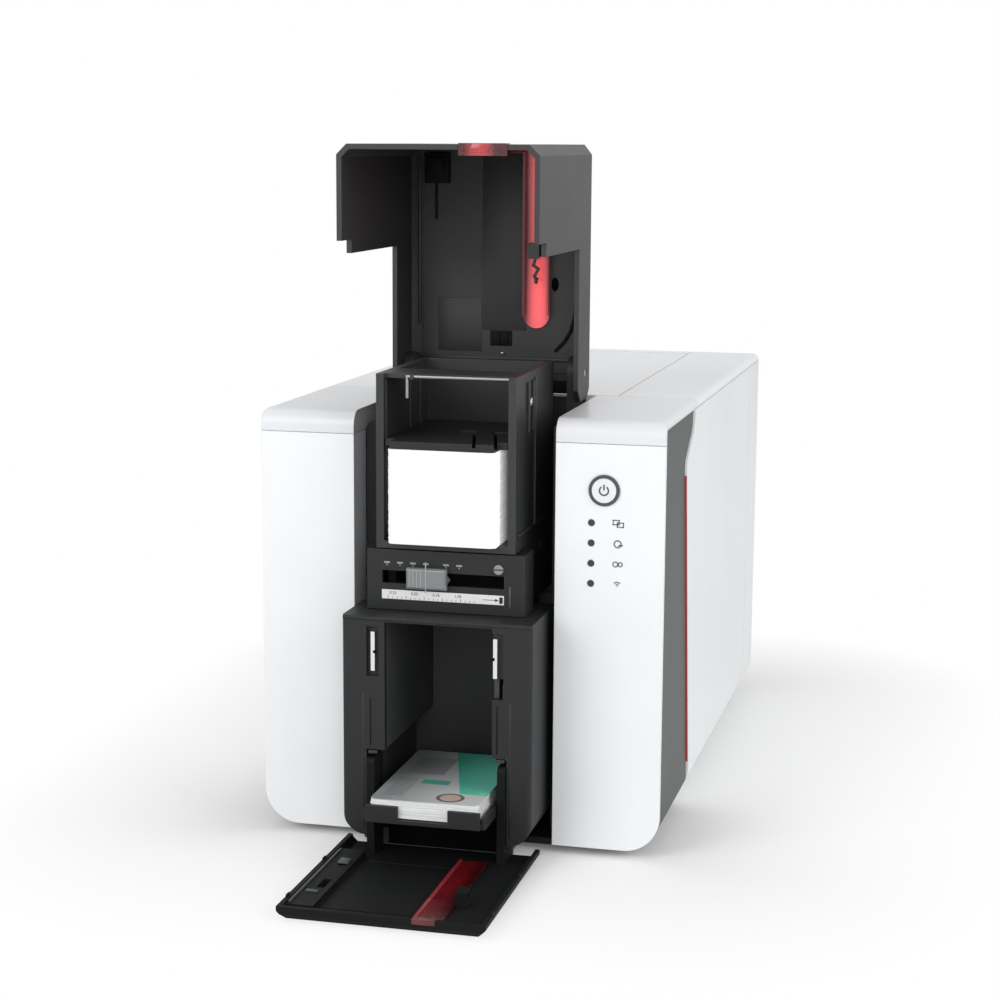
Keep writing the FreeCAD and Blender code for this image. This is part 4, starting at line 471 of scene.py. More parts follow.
@dataclass(frozen=True)
class Board:
    """Lacquered circuit board with copper tracks under the lacquer."""

    TRACKS: ClassVar[float] = 90.0  # tracks in one metre
    SHIFT: ClassVar[float] = 0.37  # how far each row is set off
    COPPER: ClassVar[float] = 1.9  # how much brighter the lacquer is over copper

    name: str
    colour: Colour

    def build(self) -> bpy.types.Material:
        """Make the material."""
        bench = Bench(self.name)
        soft = bench.rounded(0.15)
        brick = bench.node("ShaderNodeTexBrick", {"offset": self.SHIFT}, {
            "Vector": bench.stretched((0.1, 1.0, 1.0)), "Scale": self.TRACKS})
        track = bench.signal(brick, "Fac")
        bright = tuple(min(1.0, c * self.COPPER + 0.01) for c in self.colour)
        colour = bench.mix(track * 0.7, self.colour, bright)
        return bench.close({
            "Base Color": colour, "Roughness": (track * 0.1 + 0.32).held(), "Coat Weight": 0.4,
            "Normal": bench.bump(track, 0.03, soft)})


@dataclass(frozen=True)
class Patch:
    """Printed field of a card, in shares of the card's width and length."""

    across: tuple[float, float]
    along: tuple[float, float]
    colour: Colour
    cover: float = 1.0
    rows: float = 0.0


@dataclass(frozen=True)
class PrintedCard:
    """Gloss card with a plain member layout: pale ground, green corner, grey fields and a badge."""

    ROW_SHARE: ClassVar[float] = 0.45  # inked share of each text row

    name: str
    low: Vector
    high: Vector
    badge: tuple[float, float] = (0.70, 0.115)
    badge_reach: float = 0.0090
    rim_reach: float = 0.0165
    ratio: float = 1.585
    slant: float = 0.45
    green_edge: float = 0.84
    green_foot: float = 0.20
    face: float = 0.4
    patches: tuple[Patch, ...] = (
        Patch((0.32, 0.58), (0.34, 0.42), linear(92, 178, 158)),
        Patch((0.10, 0.46), (0.52, 0.86), linear(150, 154, 156), 0.8),
        Patch((0.08, 0.27), (0.08, 0.44), linear(120, 126, 128), 0.7, 46.0),
    )

    def build(self) -> bpy.types.Material:
        """Make the material."""
        bench = Bench(self.name)
        soft = bench.rounded(0.15)
        across = (bench.along(Axis.X) - self.low.x) * (1.0 / (self.high.x - self.low.x))
        along = (bench.along(Axis.Y) - self.low.y) * (1.0 / (self.high.y - self.low.y))
        height = bench.along(Axis.Z)
        pale = bench.mix((across * 1.6 - 0.2).held(), linear(160, 164, 164), linear(222, 226, 225))
        green = (across + along * self.slant > self.green_edge) * (along > self.green_foot)
        deep = bench.mix(((across - 0.5) * 2.0).held(), linear(66, 192, 164), linear(130, 232, 208))
        colour = bench.mix(green, pale, deep)
        for patch in self.patches:
            area = across.span(*patch.across) * along.span(*patch.along)
            if patch.rows:
                area = area * ((along * patch.rows).fraction() < self.ROW_SHARE)
            colour = bench.mix(area * patch.cover, colour, patch.colour)
        spot = (across - self.badge[0]) ** 2.0 + ((along - self.badge[1]) * self.ratio) ** 2.0
        badge = spot < self.badge_reach
        colour = bench.mix(badge, colour, linear(214, 190, 178))
        rim = (spot < self.rim_reach) * (1.0 - badge)
        colour = bench.mix(rim * 0.8, colour, linear(70, 66, 66))
        top = height > (self.high.z - self.face * MM)
        layer = bench.noise(900.0, 1.0, (0.1, 0.1, 1.0))
        side = bench.mix(layer, linear(214, 216, 216), linear(244, 245, 245))
        colour = bench.mix(top, side, colour)
        return bench.close({
            "Base Color": colour, "Roughness": (bench.noise(25.0, 2.0) * 0.1 + 0.2).held(),
            "Coat Weight": 0.3, "Coat Roughness": 0.15,
            "Normal": bench.bump(bench.noise(500.0, 1.0), 0.003, soft)})


@dataclass(frozen=True)
class BlankCard:
    """White gloss card stock whose right side carries a painted glow, brightest at the front: painted light
    on a side that lies in shade.
    """

    LAYERS: ClassVar[float] = 2600.0  # shades in one metre of height
    # strength of the painted glow on the stack's right side
    PAINTED_SIDE_GLOW: ClassVar[float] = 0.6

    name: str
    side: float
    front: float
    fade: float

    def build(self) -> bpy.types.Material:
        """Make the material."""
        bench = Bench(self.name)
        soft = bench.rounded(0.12)
        layer = bench.noise(self.LAYERS, 1.0, (0.02, 0.02, 1.0))
        colour = bench.mix(layer, linear(240, 242, 243), linear(254, 254, 254))
        # painted light: emission on the stack's right side, fading with depth from the front
        depth = ((bench.along(Axis.Y) - self.front * MM) * (1000.0 / self.fade)).held()
        side = (bench.along(Axis.X) > self.side * MM) * (1.0 - depth)
        painted_side_light = bench.mix(side, (0.0, 0.0, 0.0), (1.0, 1.0, 1.0))
        return bench.close({
            "Base Color": colour, "Roughness": (layer * 0.12 + 0.24).held(), "Coat Weight": 0.2,
            "Coat Roughness": 0.2, "Emission Color": painted_side_light, "Emission Strength": self.PAINTED_SIDE_GLOW,
            "Normal": bench.bump(layer, 0.01, soft)})


@dataclass(frozen=True)
class Glow:
    """Smoked lens of a status light that isn't lit."""

    name: str
    colour: Colour

    def build(self) -> bpy.types.Material:
        """Make the material."""
        bench = Bench(self.name)
        soft = bench.rounded(0.2)
        cloud = bench.noise(800.0, 1.0)
        colour = bench.mix(cloud, self.colour, tuple(0.7 * c for c in self.colour))
        return bench.close({
            "Base Color": colour, "Roughness": (cloud * 0.1 + 0.3).held(), "Coat Weight": 0.1,
            "Normal": soft})


class Finish(Enum):
    """Every finish of the printer."""

    WHITE = Moulded(
        "white_gloss_case", linear(236, 238, 240), roughness=0.34, grain=0.5, relief=0.004, wear=0.12,
        wear_colour=(0.75, 0.75, 0.75), coat=0.2, round_off=0.5)
    COVER = Moulded(
        "white_cover", linear(230, 232, 234), roughness=0.36, grain=0.5, relief=0.004, wear=0.12,
        wear_colour=(0.75, 0.75, 0.75), coat=0.2, round_off=0.5)
    CAP = Moulded(
        "light_grey_cap", linear(222, 224, 227), roughness=0.36, grain=0.5, relief=0.004, wear=0.12,
        wear_colour=(0.75, 0.75, 0.75), coat=0.2, round_off=0.5)
    STRIP = Moulded("strip_grey", linear(74, 77, 76), roughness=0.5, grain=0.4, relief=0.012, wear=0.2)
    LINE = Moulded(
        "accent_red", linear(184, 58, 62), roughness=0.35, grain=0.5, relief=0.004, wear=0.1,
        wear_colour=(0.8, 0.3, 0.3), coat=0.3, round_off=0.2)
    HOOD = Moulded("hood_charcoal", linear(47, 48, 49), roughness=0.48, grain=0.4, relief=0.014, wear=0.5)
    FEEDER = Moulded("feeder_black", linear(42, 43, 44), roughness=0.5, grain=0.4, relief=0.014, wear=0.5)
    BLACK = Moulded(
        "module_black", linear(30, 31, 32), roughness=0.5, grain=0.4, relief=0.014, wear=0.4,
        specular=0.32)
    BAY = Moulded("liner_black", linear(42, 43, 43), roughness=0.55, grain=0.4, relief=0.014, wear=0.3)
    PAN = Moulded(
        "painted_steel", linear(22, 23, 23), roughness=0.6, grain=0.3, relief=0.01, wear=0.2,
        specular=0.2)
    # lighter copy of the liner black: painted light for the chute's brighter lit back wall
    CHUTE = Moulded("chute_black_painted_light", linear(58, 59, 59), roughness=0.55, grain=0.4, relief=0.014, wear=0.3)
    DOOR = Moulded(
        "door_black", linear(18, 19, 20), roughness=0.62, grain=0.4, relief=0.012, wear=0.3,
        wear_colour=(0.1, 0.1, 0.1), specular=0.12)
    DOOR_SHELL = Moulded(
        "door_shell", linear(18, 19, 20), roughness=0.62, grain=0.4, relief=0.012, wear=0.3,
        wear_colour=(0.1, 0.1, 0.1), specular=0.12, skin_top=1.25, skin=linear(47, 48, 49))
    # near black; on the weight's groove floors and over the chute's apron it is painted shade
    PIT = Moulded(
        "deep_black", linear(8, 8, 9), roughness=0.8, grain=0.4, relief=0.01, wear=0.0, specular=0.05)
    CLIP = Moulded("clip_grey", linear(66, 72, 68), roughness=0.5, grain=0.4, relief=0.012, wear=0.3)
    SLIDER = Moulded(
        "slider_plastic", linear(126, 129, 130), roughness=0.42, grain=0.4, relief=0.01, wear=0.3,
        wear_colour=(0.5, 0.5, 0.5))
    EDGE = Moulded(
        "slider_edge", linear(160, 164, 165), roughness=0.42, grain=0.4, relief=0.01, wear=0.3,
        wear_colour=(0.7, 0.7, 0.7))
    LABEL = Moulded(
        "scale_film", linear(228, 229, 226), roughness=0.3, grain=0.6, relief=0.002, wear=0.05,
        wear_colour=(0.8, 0.8, 0.8), coat=0.2, round_off=0.1)
    INK = Moulded("scale_ink", linear(40, 42, 44), roughness=0.5, grain=0.4, relief=0.002, wear=0.0)
    MARK = Moulded(
        "moulded_mark", linear(150, 153, 154), roughness=0.5, grain=0.4, relief=0.002, wear=0.0)
    MARK_DARK = Moulded(
        "printed_mark", linear(84, 87, 90), roughness=0.5, grain=0.4, relief=0.002, wear=0.0)
    ICON = Moulded("icon_ink", linear(128, 131, 134), roughness=0.4, grain=0.4, relief=0.002, wear=0.0)
    BUSH = Moulded("bush_natural", linear(222, 220, 212), roughness=0.5)
    SILVER = Moulded(
        "button_lacquer", linear(228, 230, 232), roughness=0.32, grain=0.6, relief=0.003, wear=0.1,
        wear_colour=(0.8, 0.8, 0.8), coat=0.3)
    RING = Moulded(
        "ring_dark_silver", linear(66, 69, 72), roughness=0.3, grain=0.6, relief=0.003, wear=0.3,
        wear_colour=(0.5, 0.5, 0.5), coat=0.3)
    WOUND = Moulded("ribbon_ink", linear(40, 34, 48), roughness=0.28, grain=0.3, relief=0.01, wear=0.2)
    # The red tints carry painted light: a painted highlight lane and edges and painted shade by height; the
    # hood's window also has a painted glow.
    RED_HOOD = Tinted(
        "window_red_hood", deep=linear(70, 20, 26), bright=linear(255, 104, 110), low=262.0, high=310.0,
        middle=18.6, half=6.8, painted_glow=0.44)
    RED_TAB = Tinted(
        "tab_red", deep=linear(74, 14, 20), bright=linear(196, 62, 68), low=343.0, high=356.0,
        middle=17.6, half=7.6)
    RED_DOOR = Tinted(
        "window_red_door", deep=linear(66, 8, 14), bright=linear(112, 20, 28), low=2.0, high=12.0,
        middle=14.0, half=9.0)
    # lighter copy of the door window's red: a painted highlight line on the window's ridge
    RED_RIB = Tinted(
        "window_red_rib_painted_highlight", deep=linear(120, 30, 38), bright=linear(164, 56, 64), low=2.0, high=12.0,
        middle=13.0, half=4.0)
    STEEL = Metal("polished_steel", (0.66, 0.66, 0.67), roughness=0.22, along=Axis.X)
    BAIL = Metal("bail_steel", (0.30, 0.30, 0.31), roughness=0.34, along=Axis.X)
    BAR = Metal("keeper_steel", (0.80, 0.80, 0.81), roughness=0.25, along=Axis.Z)
    PLATE = Metal("zinc_plate", (0.52, 0.53, 0.55), roughness=0.38, along=Axis.Y)
    CAST = Metal("machined_metal", (0.60, 0.61, 0.63), roughness=0.3, along=Axis.X)
    ROLLER = Rubber("ground_rubber", linear(42, 42, 44))
    CLEANER = Rubber("cleaning_rubber", linear(70, 120, 170), dust=0.05)
    FOOT = Rubber("moulded_rubber", linear(36, 36, 36))
    GREEN = Board("board_lacquer", linear(24, 92, 56))
    # side, front and fade place the painted glow on the stack's right side
    BLANK = BlankCard("blank_card_stock", side=23.7, front=-134.0, fade=26.0)
    LIGHT = Glow("smoked_lens", linear(44, 48, 52))

    def material(self) -> bpy.types.Material:
        """The finish's material, made once."""
        found = bpy.data.materials.get(self.value.name)
        return found if found else self.value.build()


@dataclass
class Datum:
    """Front frame: X from the card module's middle, Y from the white front, Z from the front's lower edge."""

    front: float = 0.0
    rise: float = 4.0
    module: float = 0.0

    def settle(self) -> None:
        """Read the frame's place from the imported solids."""
        self.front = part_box("left_fascia")[0].y / MM
        low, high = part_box("hood_shell")
        self.module = (low.x + high.x) / 2 / MM

    def at(self, point: Sequence[float]) -> Vector:
        """Turn a point of the front frame, in millimetres, into the row frame, in metres."""
        x, y, z = point
        return Vector((x + self.module, y + self.front, z + self.rise)) * MM


DATUM = Datum()


class Form:
    """Collects rounded solids of one piece, given in the front frame in millimetres."""

    SHARP: ClassVar[float] = 0.5  # least angle between faces, in radians, of an edge that is rounded
    RIM: ClassVar[float] = 0.9  # the same on bars and drawn outlines, whose facets stay
    BALL: ClassVar[tuple[int, int]] = (24, 14)  # facets around and along a ball

    def __init__(self) -> None:
        """Start an empty mesh."""
        self.mesh = bmesh.new()

    def _ease(self, verts: list, edge: float, steps: int, sharp: float = SHARP) -> None:
        """Round the sharp edges of new vertices.

        Args:
            verts: New vertices.
            edge: Radius in millimetres.
            steps: Facets in the rounding.
            sharp: Least angle between faces, in radians, that is rounded.
        """
        edges = list(dict.fromkeys(
            e for v in verts for e in v.link_edges
            if len(e.link_faces) == 2 and e.calc_face_angle() > sharp))
        if edge > 0 and edges:
            bmesh.ops.bevel(
                self.mesh, geom=edges, offset=edge * MM, segments=steps, profile=0.5, affect="EDGES")

    def block(self, low: Point, high: Point, edge: float = 0.3, steps: int = 2) -> "Form":
        """Add a box with rounded edges.

        Args:
            low: Lower corner.
            high: Higher corner.
            edge: Radius of the edges.
            steps: Facets in the rounding.

        Returns:
            This form.
        """
        verts = bmesh.ops.create_cube(self.mesh, size=1.0)["verts"]
        start, end = DATUM.at(low), DATUM.at(high)
        for vert in verts:
            vert.co = Vector(start[i] + (vert.co[i] + 0.5) * (end[i] - start[i]) for i in range(3))
        self._ease(verts, edge, steps)
        return self

    def rod(self, start: Point, end: Point, radius: float, edge: float = 0.2, sides: int = 32,
            far_radius: float | None = None) -> "Form":
        """Add a round bar or a cone with rounded rims.

        Args:
            start: Middle of the first end.
            end: Middle of the other end.
            radius: Radius of the first end.
            edge: Radius of the rims.
            sides: Facets around.
            far_radius: Radius of the other end, where it differs.

        Returns:
            This form.
        """
        first, last = DATUM.at(start), DATUM.at(end)
        span = last - first
        turn = span.to_track_quat("Z", "Y").to_matrix().to_4x4()
        verts = bmesh.ops.create_cone(
            self.mesh, cap_ends=True, segments=sides, radius1=radius * MM,
            radius2=(radius if far_radius is None else far_radius) * MM, depth=span.length,
            matrix=Matrix.Translation((first + last) / 2) @ turn)["verts"]
        self._ease(verts, edge, 2, self.RIM)
        return self

    def ball(self, centre: Point, radii: Point) -> "Form":
        """Add an ellipsoid.

        Args:
            centre: Its middle.
            radii: Its reach along each axis.

        Returns:
            This form.
        """
        matrix = Matrix.Translation(DATUM.at(centre)) @ Matrix.Diagonal((*[r * MM for r in radii], 1.0))
        bmesh.ops.create_uvsphere(
            self.mesh, u_segments=self.BALL[0], v_segments=self.BALL[1], radius=1.0, matrix=matrix)
        return self

    def plate(self, axis: Axis, outline: Sequence[tuple[float, float]], low: float, high: float,
              edge: float = 0.2) -> "Form":
        """Add a plate with a drawn outline.

        Args:
            axis: Axis across the plate.
            outline: Corners on the two other axes.
            low: Place of the first face on the axis.
            high: Place of the other face.
            edge: Radius of the edges.

        Returns:
            This form.
        """
        rings = []
        for along in (low, high):
            rings.append([self.mesh.verts.new(DATUM.at(axis.point(u, v, along))) for u, v in outline])
        self.mesh.faces.new(rings[0])
        self.mesh.faces.new(list(reversed(rings[1])))
        count = len(outline)
        for index in range(count):
            after = (index + 1) % count
            self.mesh.faces.new((rings[0][after], rings[0][index], rings[1][index], rings[1][after]))
        faces = dict.fromkeys(f for ring in rings for v in ring for f in v.link_faces)
        bmesh.ops.recalc_face_normals(self.mesh, faces=list(faces))
        self._ease([v for ring in rings for v in ring], edge, 2, self.RIM)
        return self

    def band(self, centre: Point, radius: float, width: float, first: float, last: float, depth: float,
             steps: int = 28) -> "Form":
        """Add a flat arc in the front plane.

        Args:
            centre: Middle of the arc on its back face.
            radius: Radius of its middle line.
            width: Width of the line.
            first: First angle in degrees from straight up.
            last: Last angle.
            depth: Thickness of the arc.
            steps: Facets along it.

        Returns:
            This form.
        """
        outer, inner = [], []
        for step in range(steps + 1):
            angle = math.radians(first + (last - first) * step / steps)
            for ring, reach in ((outer, radius + width / 2), (inner, radius - width / 2)):
                ring.append((centre[0] + reach * math.sin(angle), centre[2] + reach * math.cos(angle)))
        if abs(last - first) >= 360:
            half = steps // 2
            self.plate(Axis.Y, outer[:half + 1] + inner[:half + 1][::-1], centre[1], centre[1] - depth, 0)
            return self.plate(Axis.Y, outer[half:] + inner[half:][::-1], centre[1], centre[1] - depth, 0)
        return self.plate(Axis.Y, outer + inner[::-1], centre[1], centre[1] - depth, 0)

    def _listed(self) -> tuple[list[Point], list[list[int]]]:
        """List the points and faces in an order that is the same in every run.

        Returns:
            The points, and each face as the numbers of its points.
        """
        verts = sorted(self.mesh.verts, key=lambda v: v.co[:])
        number = {vert: index for index, vert in enumerate(verts)}
        faces = []
        for face in self.mesh.faces:
            ring = [number[vert] for vert in face.verts]
            start = ring.index(min(ring))
            faces.append(ring[start:] + ring[:start])
        return [vert.co[:] for vert in verts], sorted(faces)

    def make(self, name: str, finish: Finish | bpy.types.Material, body: str,
             smooth: float = 35.0) -> bpy.types.Object:
        """Turn the solids into one piece that rides on a body.

        Args:
            name: Name of the piece.
            finish: Its finish, or a material of its own.
            body: Body that carries it.
            smooth: Largest angle, in degrees, that is shaded smooth.

        Returns:
            The new object.
        """
        points, faces = self._listed()
        self.mesh.free()
        data = bpy.data.meshes.new(name)
        data.from_pydata(points, [], faces)
        data.polygons.foreach_set("use_smooth", [True] * len(data.polygons))
        data.set_sharp_from_angle(angle=math.radians(smooth))
        data.materials.append(finish.material() if isinstance(finish, Finish) else finish)
        piece = bpy.data.objects.new(name, data)
        bpy.context.scene.collection.objects.link(piece)
        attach(piece, body)
        log.info("%s rides on %s", name, body)
        return piece


def words(name: str, text: str, centre: Point, size: float, body: str, finish: Finish) -> bpy.types.Object:
    """Write scale numbers on the front of the module.

    Args:
        name: Name of the piece.
        text: The numbers.
        centre: Middle of the line, in the front frame.
        size: Height of the figures in millimetres.
        body: Body that carries them.
        finish: Ink.

    Returns:
        The mesh of the numbers.
    """
    curve = bpy.data.curves.new(name, "FONT")
    curve.body = text
    curve.size = size * MM * FONT_SIZE
    curve.extrude = INK_DEPTH * MM
    curve.align_x = "CENTER"
    curve.align_y = "CENTER"
    curve.resolution_u = 3
    drawn = bpy.data.objects.new(name + "_line", curve)
    bpy.context.scene.collection.objects.link(drawn)
    bpy.context.view_layer.update()
    graph = bpy.context.evaluated_depsgraph_get()
    data = bpy.data.meshes.new_from_object(drawn.evaluated_get(graph))
    bpy.data.objects.remove(drawn)
    data.name = name
    data.transform(Matrix.Translation(DATUM.at(centre)) @ Matrix.Rotation(math.radians(90), 4, "X"))
    data.materials.clear()
    data.materials.append(finish.material())
    piece = bpy.data.objects.new(name, data)
    bpy.context.scene.collection.objects.link(piece)
    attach(piece, body)
    return piece


def boxes(name: str, finish: Finish, body: str, parts: Sequence[tuple]) -> None:
    """Make one piece from rounded boxes.

    Args:
        name: Name of the piece.
        finish: Its finish.
        body: Body that carries it.
        parts: Lower corner, higher corner, radius of the edges and facets of each box.
    """
    form = Form()
    for part in parts:
        form.block(*part)
    form.make(name, finish, body)


@dataclass
class Painter:
    """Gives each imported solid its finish."""

    coats: dict[Finish, tuple[str, ...]] = field(default_factory=lambda: {
        Finish.WHITE: (
            "left_fascia", "right_fascia", "left_side_panel", "right_side_panel", "rear_cover"),
        Finish.COVER: ("top_cover", "top_right_rail"),
        Finish.CAP: ("left_front_cap", "right_front_cap"),
        Finish.STRIP: ("left_accent_strip", "right_accent_strip"),
        Finish.LINE: ("accent_lines",),
        Finish.HOOD: ("hood_shell",),
        Finish.FEEDER: ("feeder_frame",),
        Finish.BLACK: (
            "gauge_panel", "output_box", "output_tray", "card_weight", "head_carrier", "power_inlet"),
        Finish.BAY: ("bay_liner",),
        Finish.CHUTE: ("output_chute",),
        Finish.DOOR: ("door_clip",),
        Finish.DOOR_SHELL: ("output_door",),
        Finish.CLIP: ("hood_clip",),
        Finish.SLIDER: ("gauge_slider",),
        Finish.LABEL: ("gauge_label",),
        Finish.BUSH: ("roller_bushes",),
        Finish.SILVER: ("power_button",),
        Finish.RING: ("button_ring",),
        Finish.WOUND: ("ribbon_film", "supply_spool", "takeup_spool"),
        Finish.RED_HOOD: ("hood_window",),
        Finish.RED_TAB: ("hood_tab",),
        Finish.RED_DOOR: ("door_window",),
        Finish.STEEL: ("hinge_pins", "tie_rods"),
        Finish.BAIL: ("feeder_bail", "case_screws"),
        Finish.BAR: ("door_keepers",),
        Finish.PAN: ("base_pan",),
        Finish.PLATE: ("left_chassis_plate", "right_chassis_plate", "power_supply", "data_ports"),
        Finish.CAST: ("print_head", "motor_pulley", "drive_motor"),
        Finish.ROLLER: ("feed_roller", "drive_roller", "platen_roller", "drive_belt"),
        Finish.CLEANER: ("cleaning_roller",),
        Finish.FOOT: ("rubber_feet",),
        Finish.GREEN: ("main_board", "control_board"),
        Finish.BLANK: ("blank_cards", "printed_cards"),
        Finish.LIGHT: ("status_lights",),
    })

    def paint(self, nodes: dict[str, bpy.types.Object]) -> None:
        """Put the finishes on the solids.

        Args:
            nodes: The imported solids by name.
        """
        for finish, names in self.coats.items():
            for name in names:
                data = nodes[name].data
                data.materials.clear()
                data.materials.append(finish.material())
                log.info("%s in %s", name, finish.value.name)
        bare = set(nodes) - {n for names in self.coats.values() for n in names}
        if bare:
            raise ValueError(f"no finish for {sorted(bare)}")


@dataclass
class CardStack:
    """Loose cards drawn one by one in the place of a solid stack."""

    node: str
    name: str
    body: str
    slot: str
    count: int
    corner: float = 3.18
    slip: float = 0.12
    bevel: float = 0.12
    bevel_share: float = 0.10
    seed: int = 5

    def outline(self, low: Vector, high: Vector, inset: float) -> list[tuple[float, float]]:
        """Draw the rounded rectangle of one card, in metres.

        Args:
            low: Lower corner of the stack.
            high: Higher corner of the stack.
            inset: Distance in from the card's edge.

        Returns:
            Points around the card.
        """
        radius = self.corner * MM - inset
        points = []
        for quarter, (x, y) in enumerate((
                (high.x, high.y), (low.x, high.y), (low.x, low.y), (high.x, low.y))):
            cx = x - math.copysign(self.corner * MM, x - (low.x + high.x) / 2)
            cy = y - math.copysign(self.corner * MM, y - (low.y + high.y) / 2)
            for step in range(CORNER_STEPS + 1):
                angle = math.radians(90 * quarter + 90 / CORNER_STEPS * step)
                points.append((cx + radius * math.cos(angle), cy + radius * math.sin(angle)))
        return points

    def build(self, finish: Finish | bpy.types.Material) -> bpy.types.Object:
        """Draw the cards.

        Args:
            finish: Finish of the cards.

        Returns:
            The stack as one piece.
        """
        low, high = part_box(self.node)
        pitch = (high.z - low.z) / self.count
        chance = random.Random(self.seed)
        form = Form()
        for index in range(self.count):
            dx = chance.uniform(-self.slip, self.slip) * MM
            dy = chance.uniform(-self.slip, self.slip) * MM
            base = low.z + index * pitch
            rings = []
            for inset, height in ((self.bevel, 0.0), (0.0, self.bevel_share), (0.0, 1.0 - self.bevel_share),
                                  (self.bevel, 1.0)):
                rings.append([
                    form.mesh.verts.new((x + dx, y + dy, base + height * pitch))
                    for x, y in self.outline(low, high, inset * MM)])
            form.mesh.faces.new(rings[0][::-1])
            form.mesh.faces.new(rings[-1])
            for lower, upper in zip(rings, rings[1:]):
                for k in range(len(lower)):
                    after = (k + 1) % len(lower)
                    form.mesh.faces.new((lower[k], lower[after], upper[after], upper[k]))
        piece = form.make(self.name, finish, self.body, 30.0)
        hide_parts(self.node)
        return piece


@dataclass
class CardHood:
    """Small parts of the hood: ribs, plates, latch pad and seat, flap, clip parts and grip."""

    half: float = 49.25
    wall: float = 2.5
    back: float = 93.0

    def build(self) -> None:
        """Add every small part of the hood."""
        back = self.back - self.wall
        inner = self.half - self.wall
        boxes("hood_inner_ribs", Finish.HOOD, "hood", (
            ((-inner + 3.2, back - 1.6, 251), (-inner + 4.4, back + SUNK, 338), 0.3),
            ((-inner + 5.4, back - 0.7, 247), (-inner + 6.2, back + SUNK, 340), 0.2),
            ((-inner + 4.6, back - 1.5, 232.6), (inner - 3.6, back + SUNK, 234.4), 0.4),
            ((-inner + 4.6, back - 0.9, 226.5), (inner - 3.6, back + SUNK, 227.5), 0.3)))
        boxes("hood_latch_pad", Finish.DOOR, "hood", (
            ((-40.0, back - 3.0, 324.6), (-26.4, back + SUNK, 340.4), 0.8, 3),
            ((-37.5, back - 4.6, 330.0), (-29.0, back - 2.8, 338.0), 0.6, 3),
            ((-34.6, back - 1.6, 306.0), (-33.4, back + SUNK, 325.0), 0.4)))
        boxes("hood_inner_plates", Finish.HOOD, "hood", (
            ((-33.0, back - 0.3, 237), (-9.4, back + SUNK, 265), 0.2),
            ((-9.0, back - 0.4, 248.5), (14.4, back + SUNK, 340), 0.2)))
        boxes("hood_latch_seat", Finish.DOOR, "hood", (
            ((-4.6, back - 0.8, 240.2), (7.0, back + SUNK, 248.2), 0.3),
            ((-0.6, back - 1.8, 241.0), (0.8, back - 0.7, 247.4), 0.3),
            ((3.6, back - 1.8, 241.0), (5.0, back - 0.7, 247.4), 0.3)))
        boxes("hood_back_flap", Finish.DOOR, "hood", (
            ((-inner + 0.4, back + 0.3, 215.8), (inner - 0.4, back + 2.3, 224.0), 0.5, 3),))
        bosses = Form()
        for x, z in ((2.2, 236.4), (-9.0, 232.6)):
            bosses.rod((x, back + SUNK, z), (x, back - 2.0, z), 0.7, 0.15, 20, 0.5)
        bosses.make("hood_screw_ends", Finish.STEEL, "hood")
        self.cheek_rib(back, inner)
        self.clip_parts()
        self.tab_grip()

    def clip_parts(self) -> None:
        """Dark catch beside the clip and the bent spring that hangs from it."""
        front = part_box("hood_clip")[0].y / MM - DATUM.front
        boxes("hood_clip_catch", Finish.PIT, "hood", (
            ((23.5, front - 0.4, 287.6), (27.2, front + 3.4, 294.6), 0.4),))
        spring = Form()
        path = [(21.2, 287.0), (20.2, 283.2), (22.6, 281.2), (20.8, 277.6), (21.6, 274.6)]
        for (x0, z0), (x1, z1) in zip(path, path[1:]):
            spring.rod((x0, front + 0.8, z0), (x1, front + 0.8, z1), 0.8, 0.1, 14)
            spring.ball((x1, front + 0.8, z1), (1.0, 0.8, 1.1))
        spring.rod((21.2, front + 0.8, 274.8), (21.2, front + 5.4, 276.0), 0.7, 0.1, 14)
        spring.make("hood_clip_spring", Finish.CLIP, "hood")

    def cheek_rib(self, back: float, inner: float) -> None:
        """Curved rib between the back and the right cheek, and the stud beside it.

        Args:
            back: Inner face of the back.
            inner: Inner face of the cheek.
        """
        rib = Form()
        path = [(inner - 5.0, 293.0), (inner - 5.0, 270.0), (inner - 5.8, 258.0), (inner - 8.0, 249.0),
                (inner - 11.5, 243.0), (inner - 16.0, 238.5)]
        for (x0, z0), (x1, z1) in zip(path, path[1:]):
            rib.rod((x0, back - 0.5, z0), (x1, back - 0.5, z1), 0.9, 0.1, 12)
            rib.ball((x1, back - 0.5, z1), (0.9, 0.9, 0.9))
        rib.make("hood_cheek_rib", Finish.DOOR, "hood")
        stud = Form()
        stud.ball((30.0, back - 0.2, 273.0), (1.9, 1.2, 3.6))
        stud.ball((30.6, back - 1.0, 273.0), (0.8, 0.9, 1.6))
        stud.make("hood_cheek_stud", Finish.PIT, "hood")

    def tab_grip(self) -> None:
        """Finger ridges on the red tab at the hood's free edge."""
        low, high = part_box("hood_tab")
        middle = (low.x + high.x) / 2 / MM - DATUM.module
        front = low.y / MM - DATUM.front
        top = high.z / MM - DATUM.rise
        grip = Form()
        grip.plate(Axis.Y, [
            (middle - 6.4, top - 4.2), (middle + 2.6, top - 4.2), (middle + 4.4, top - 0.2),
            (middle - 5.0, top - 0.2),
        ], front - 0.05, front - 0.3, 0.1)
        for step in range(3):
            z = top - 4.4 + 0.9 * step
            grip.rod((middle + 4.6, front + 0.05, z), (middle + 10.6, front + 0.05, z), 0.3, 0.1, 12)
            grip.rod((middle - 10.6, front + 0.05, z), (middle - 7.2, front + 0.05, z), 0.3, 0.1, 12)
        grip.make("hood_tab_grip", Finish.RED_TAB, "hood")


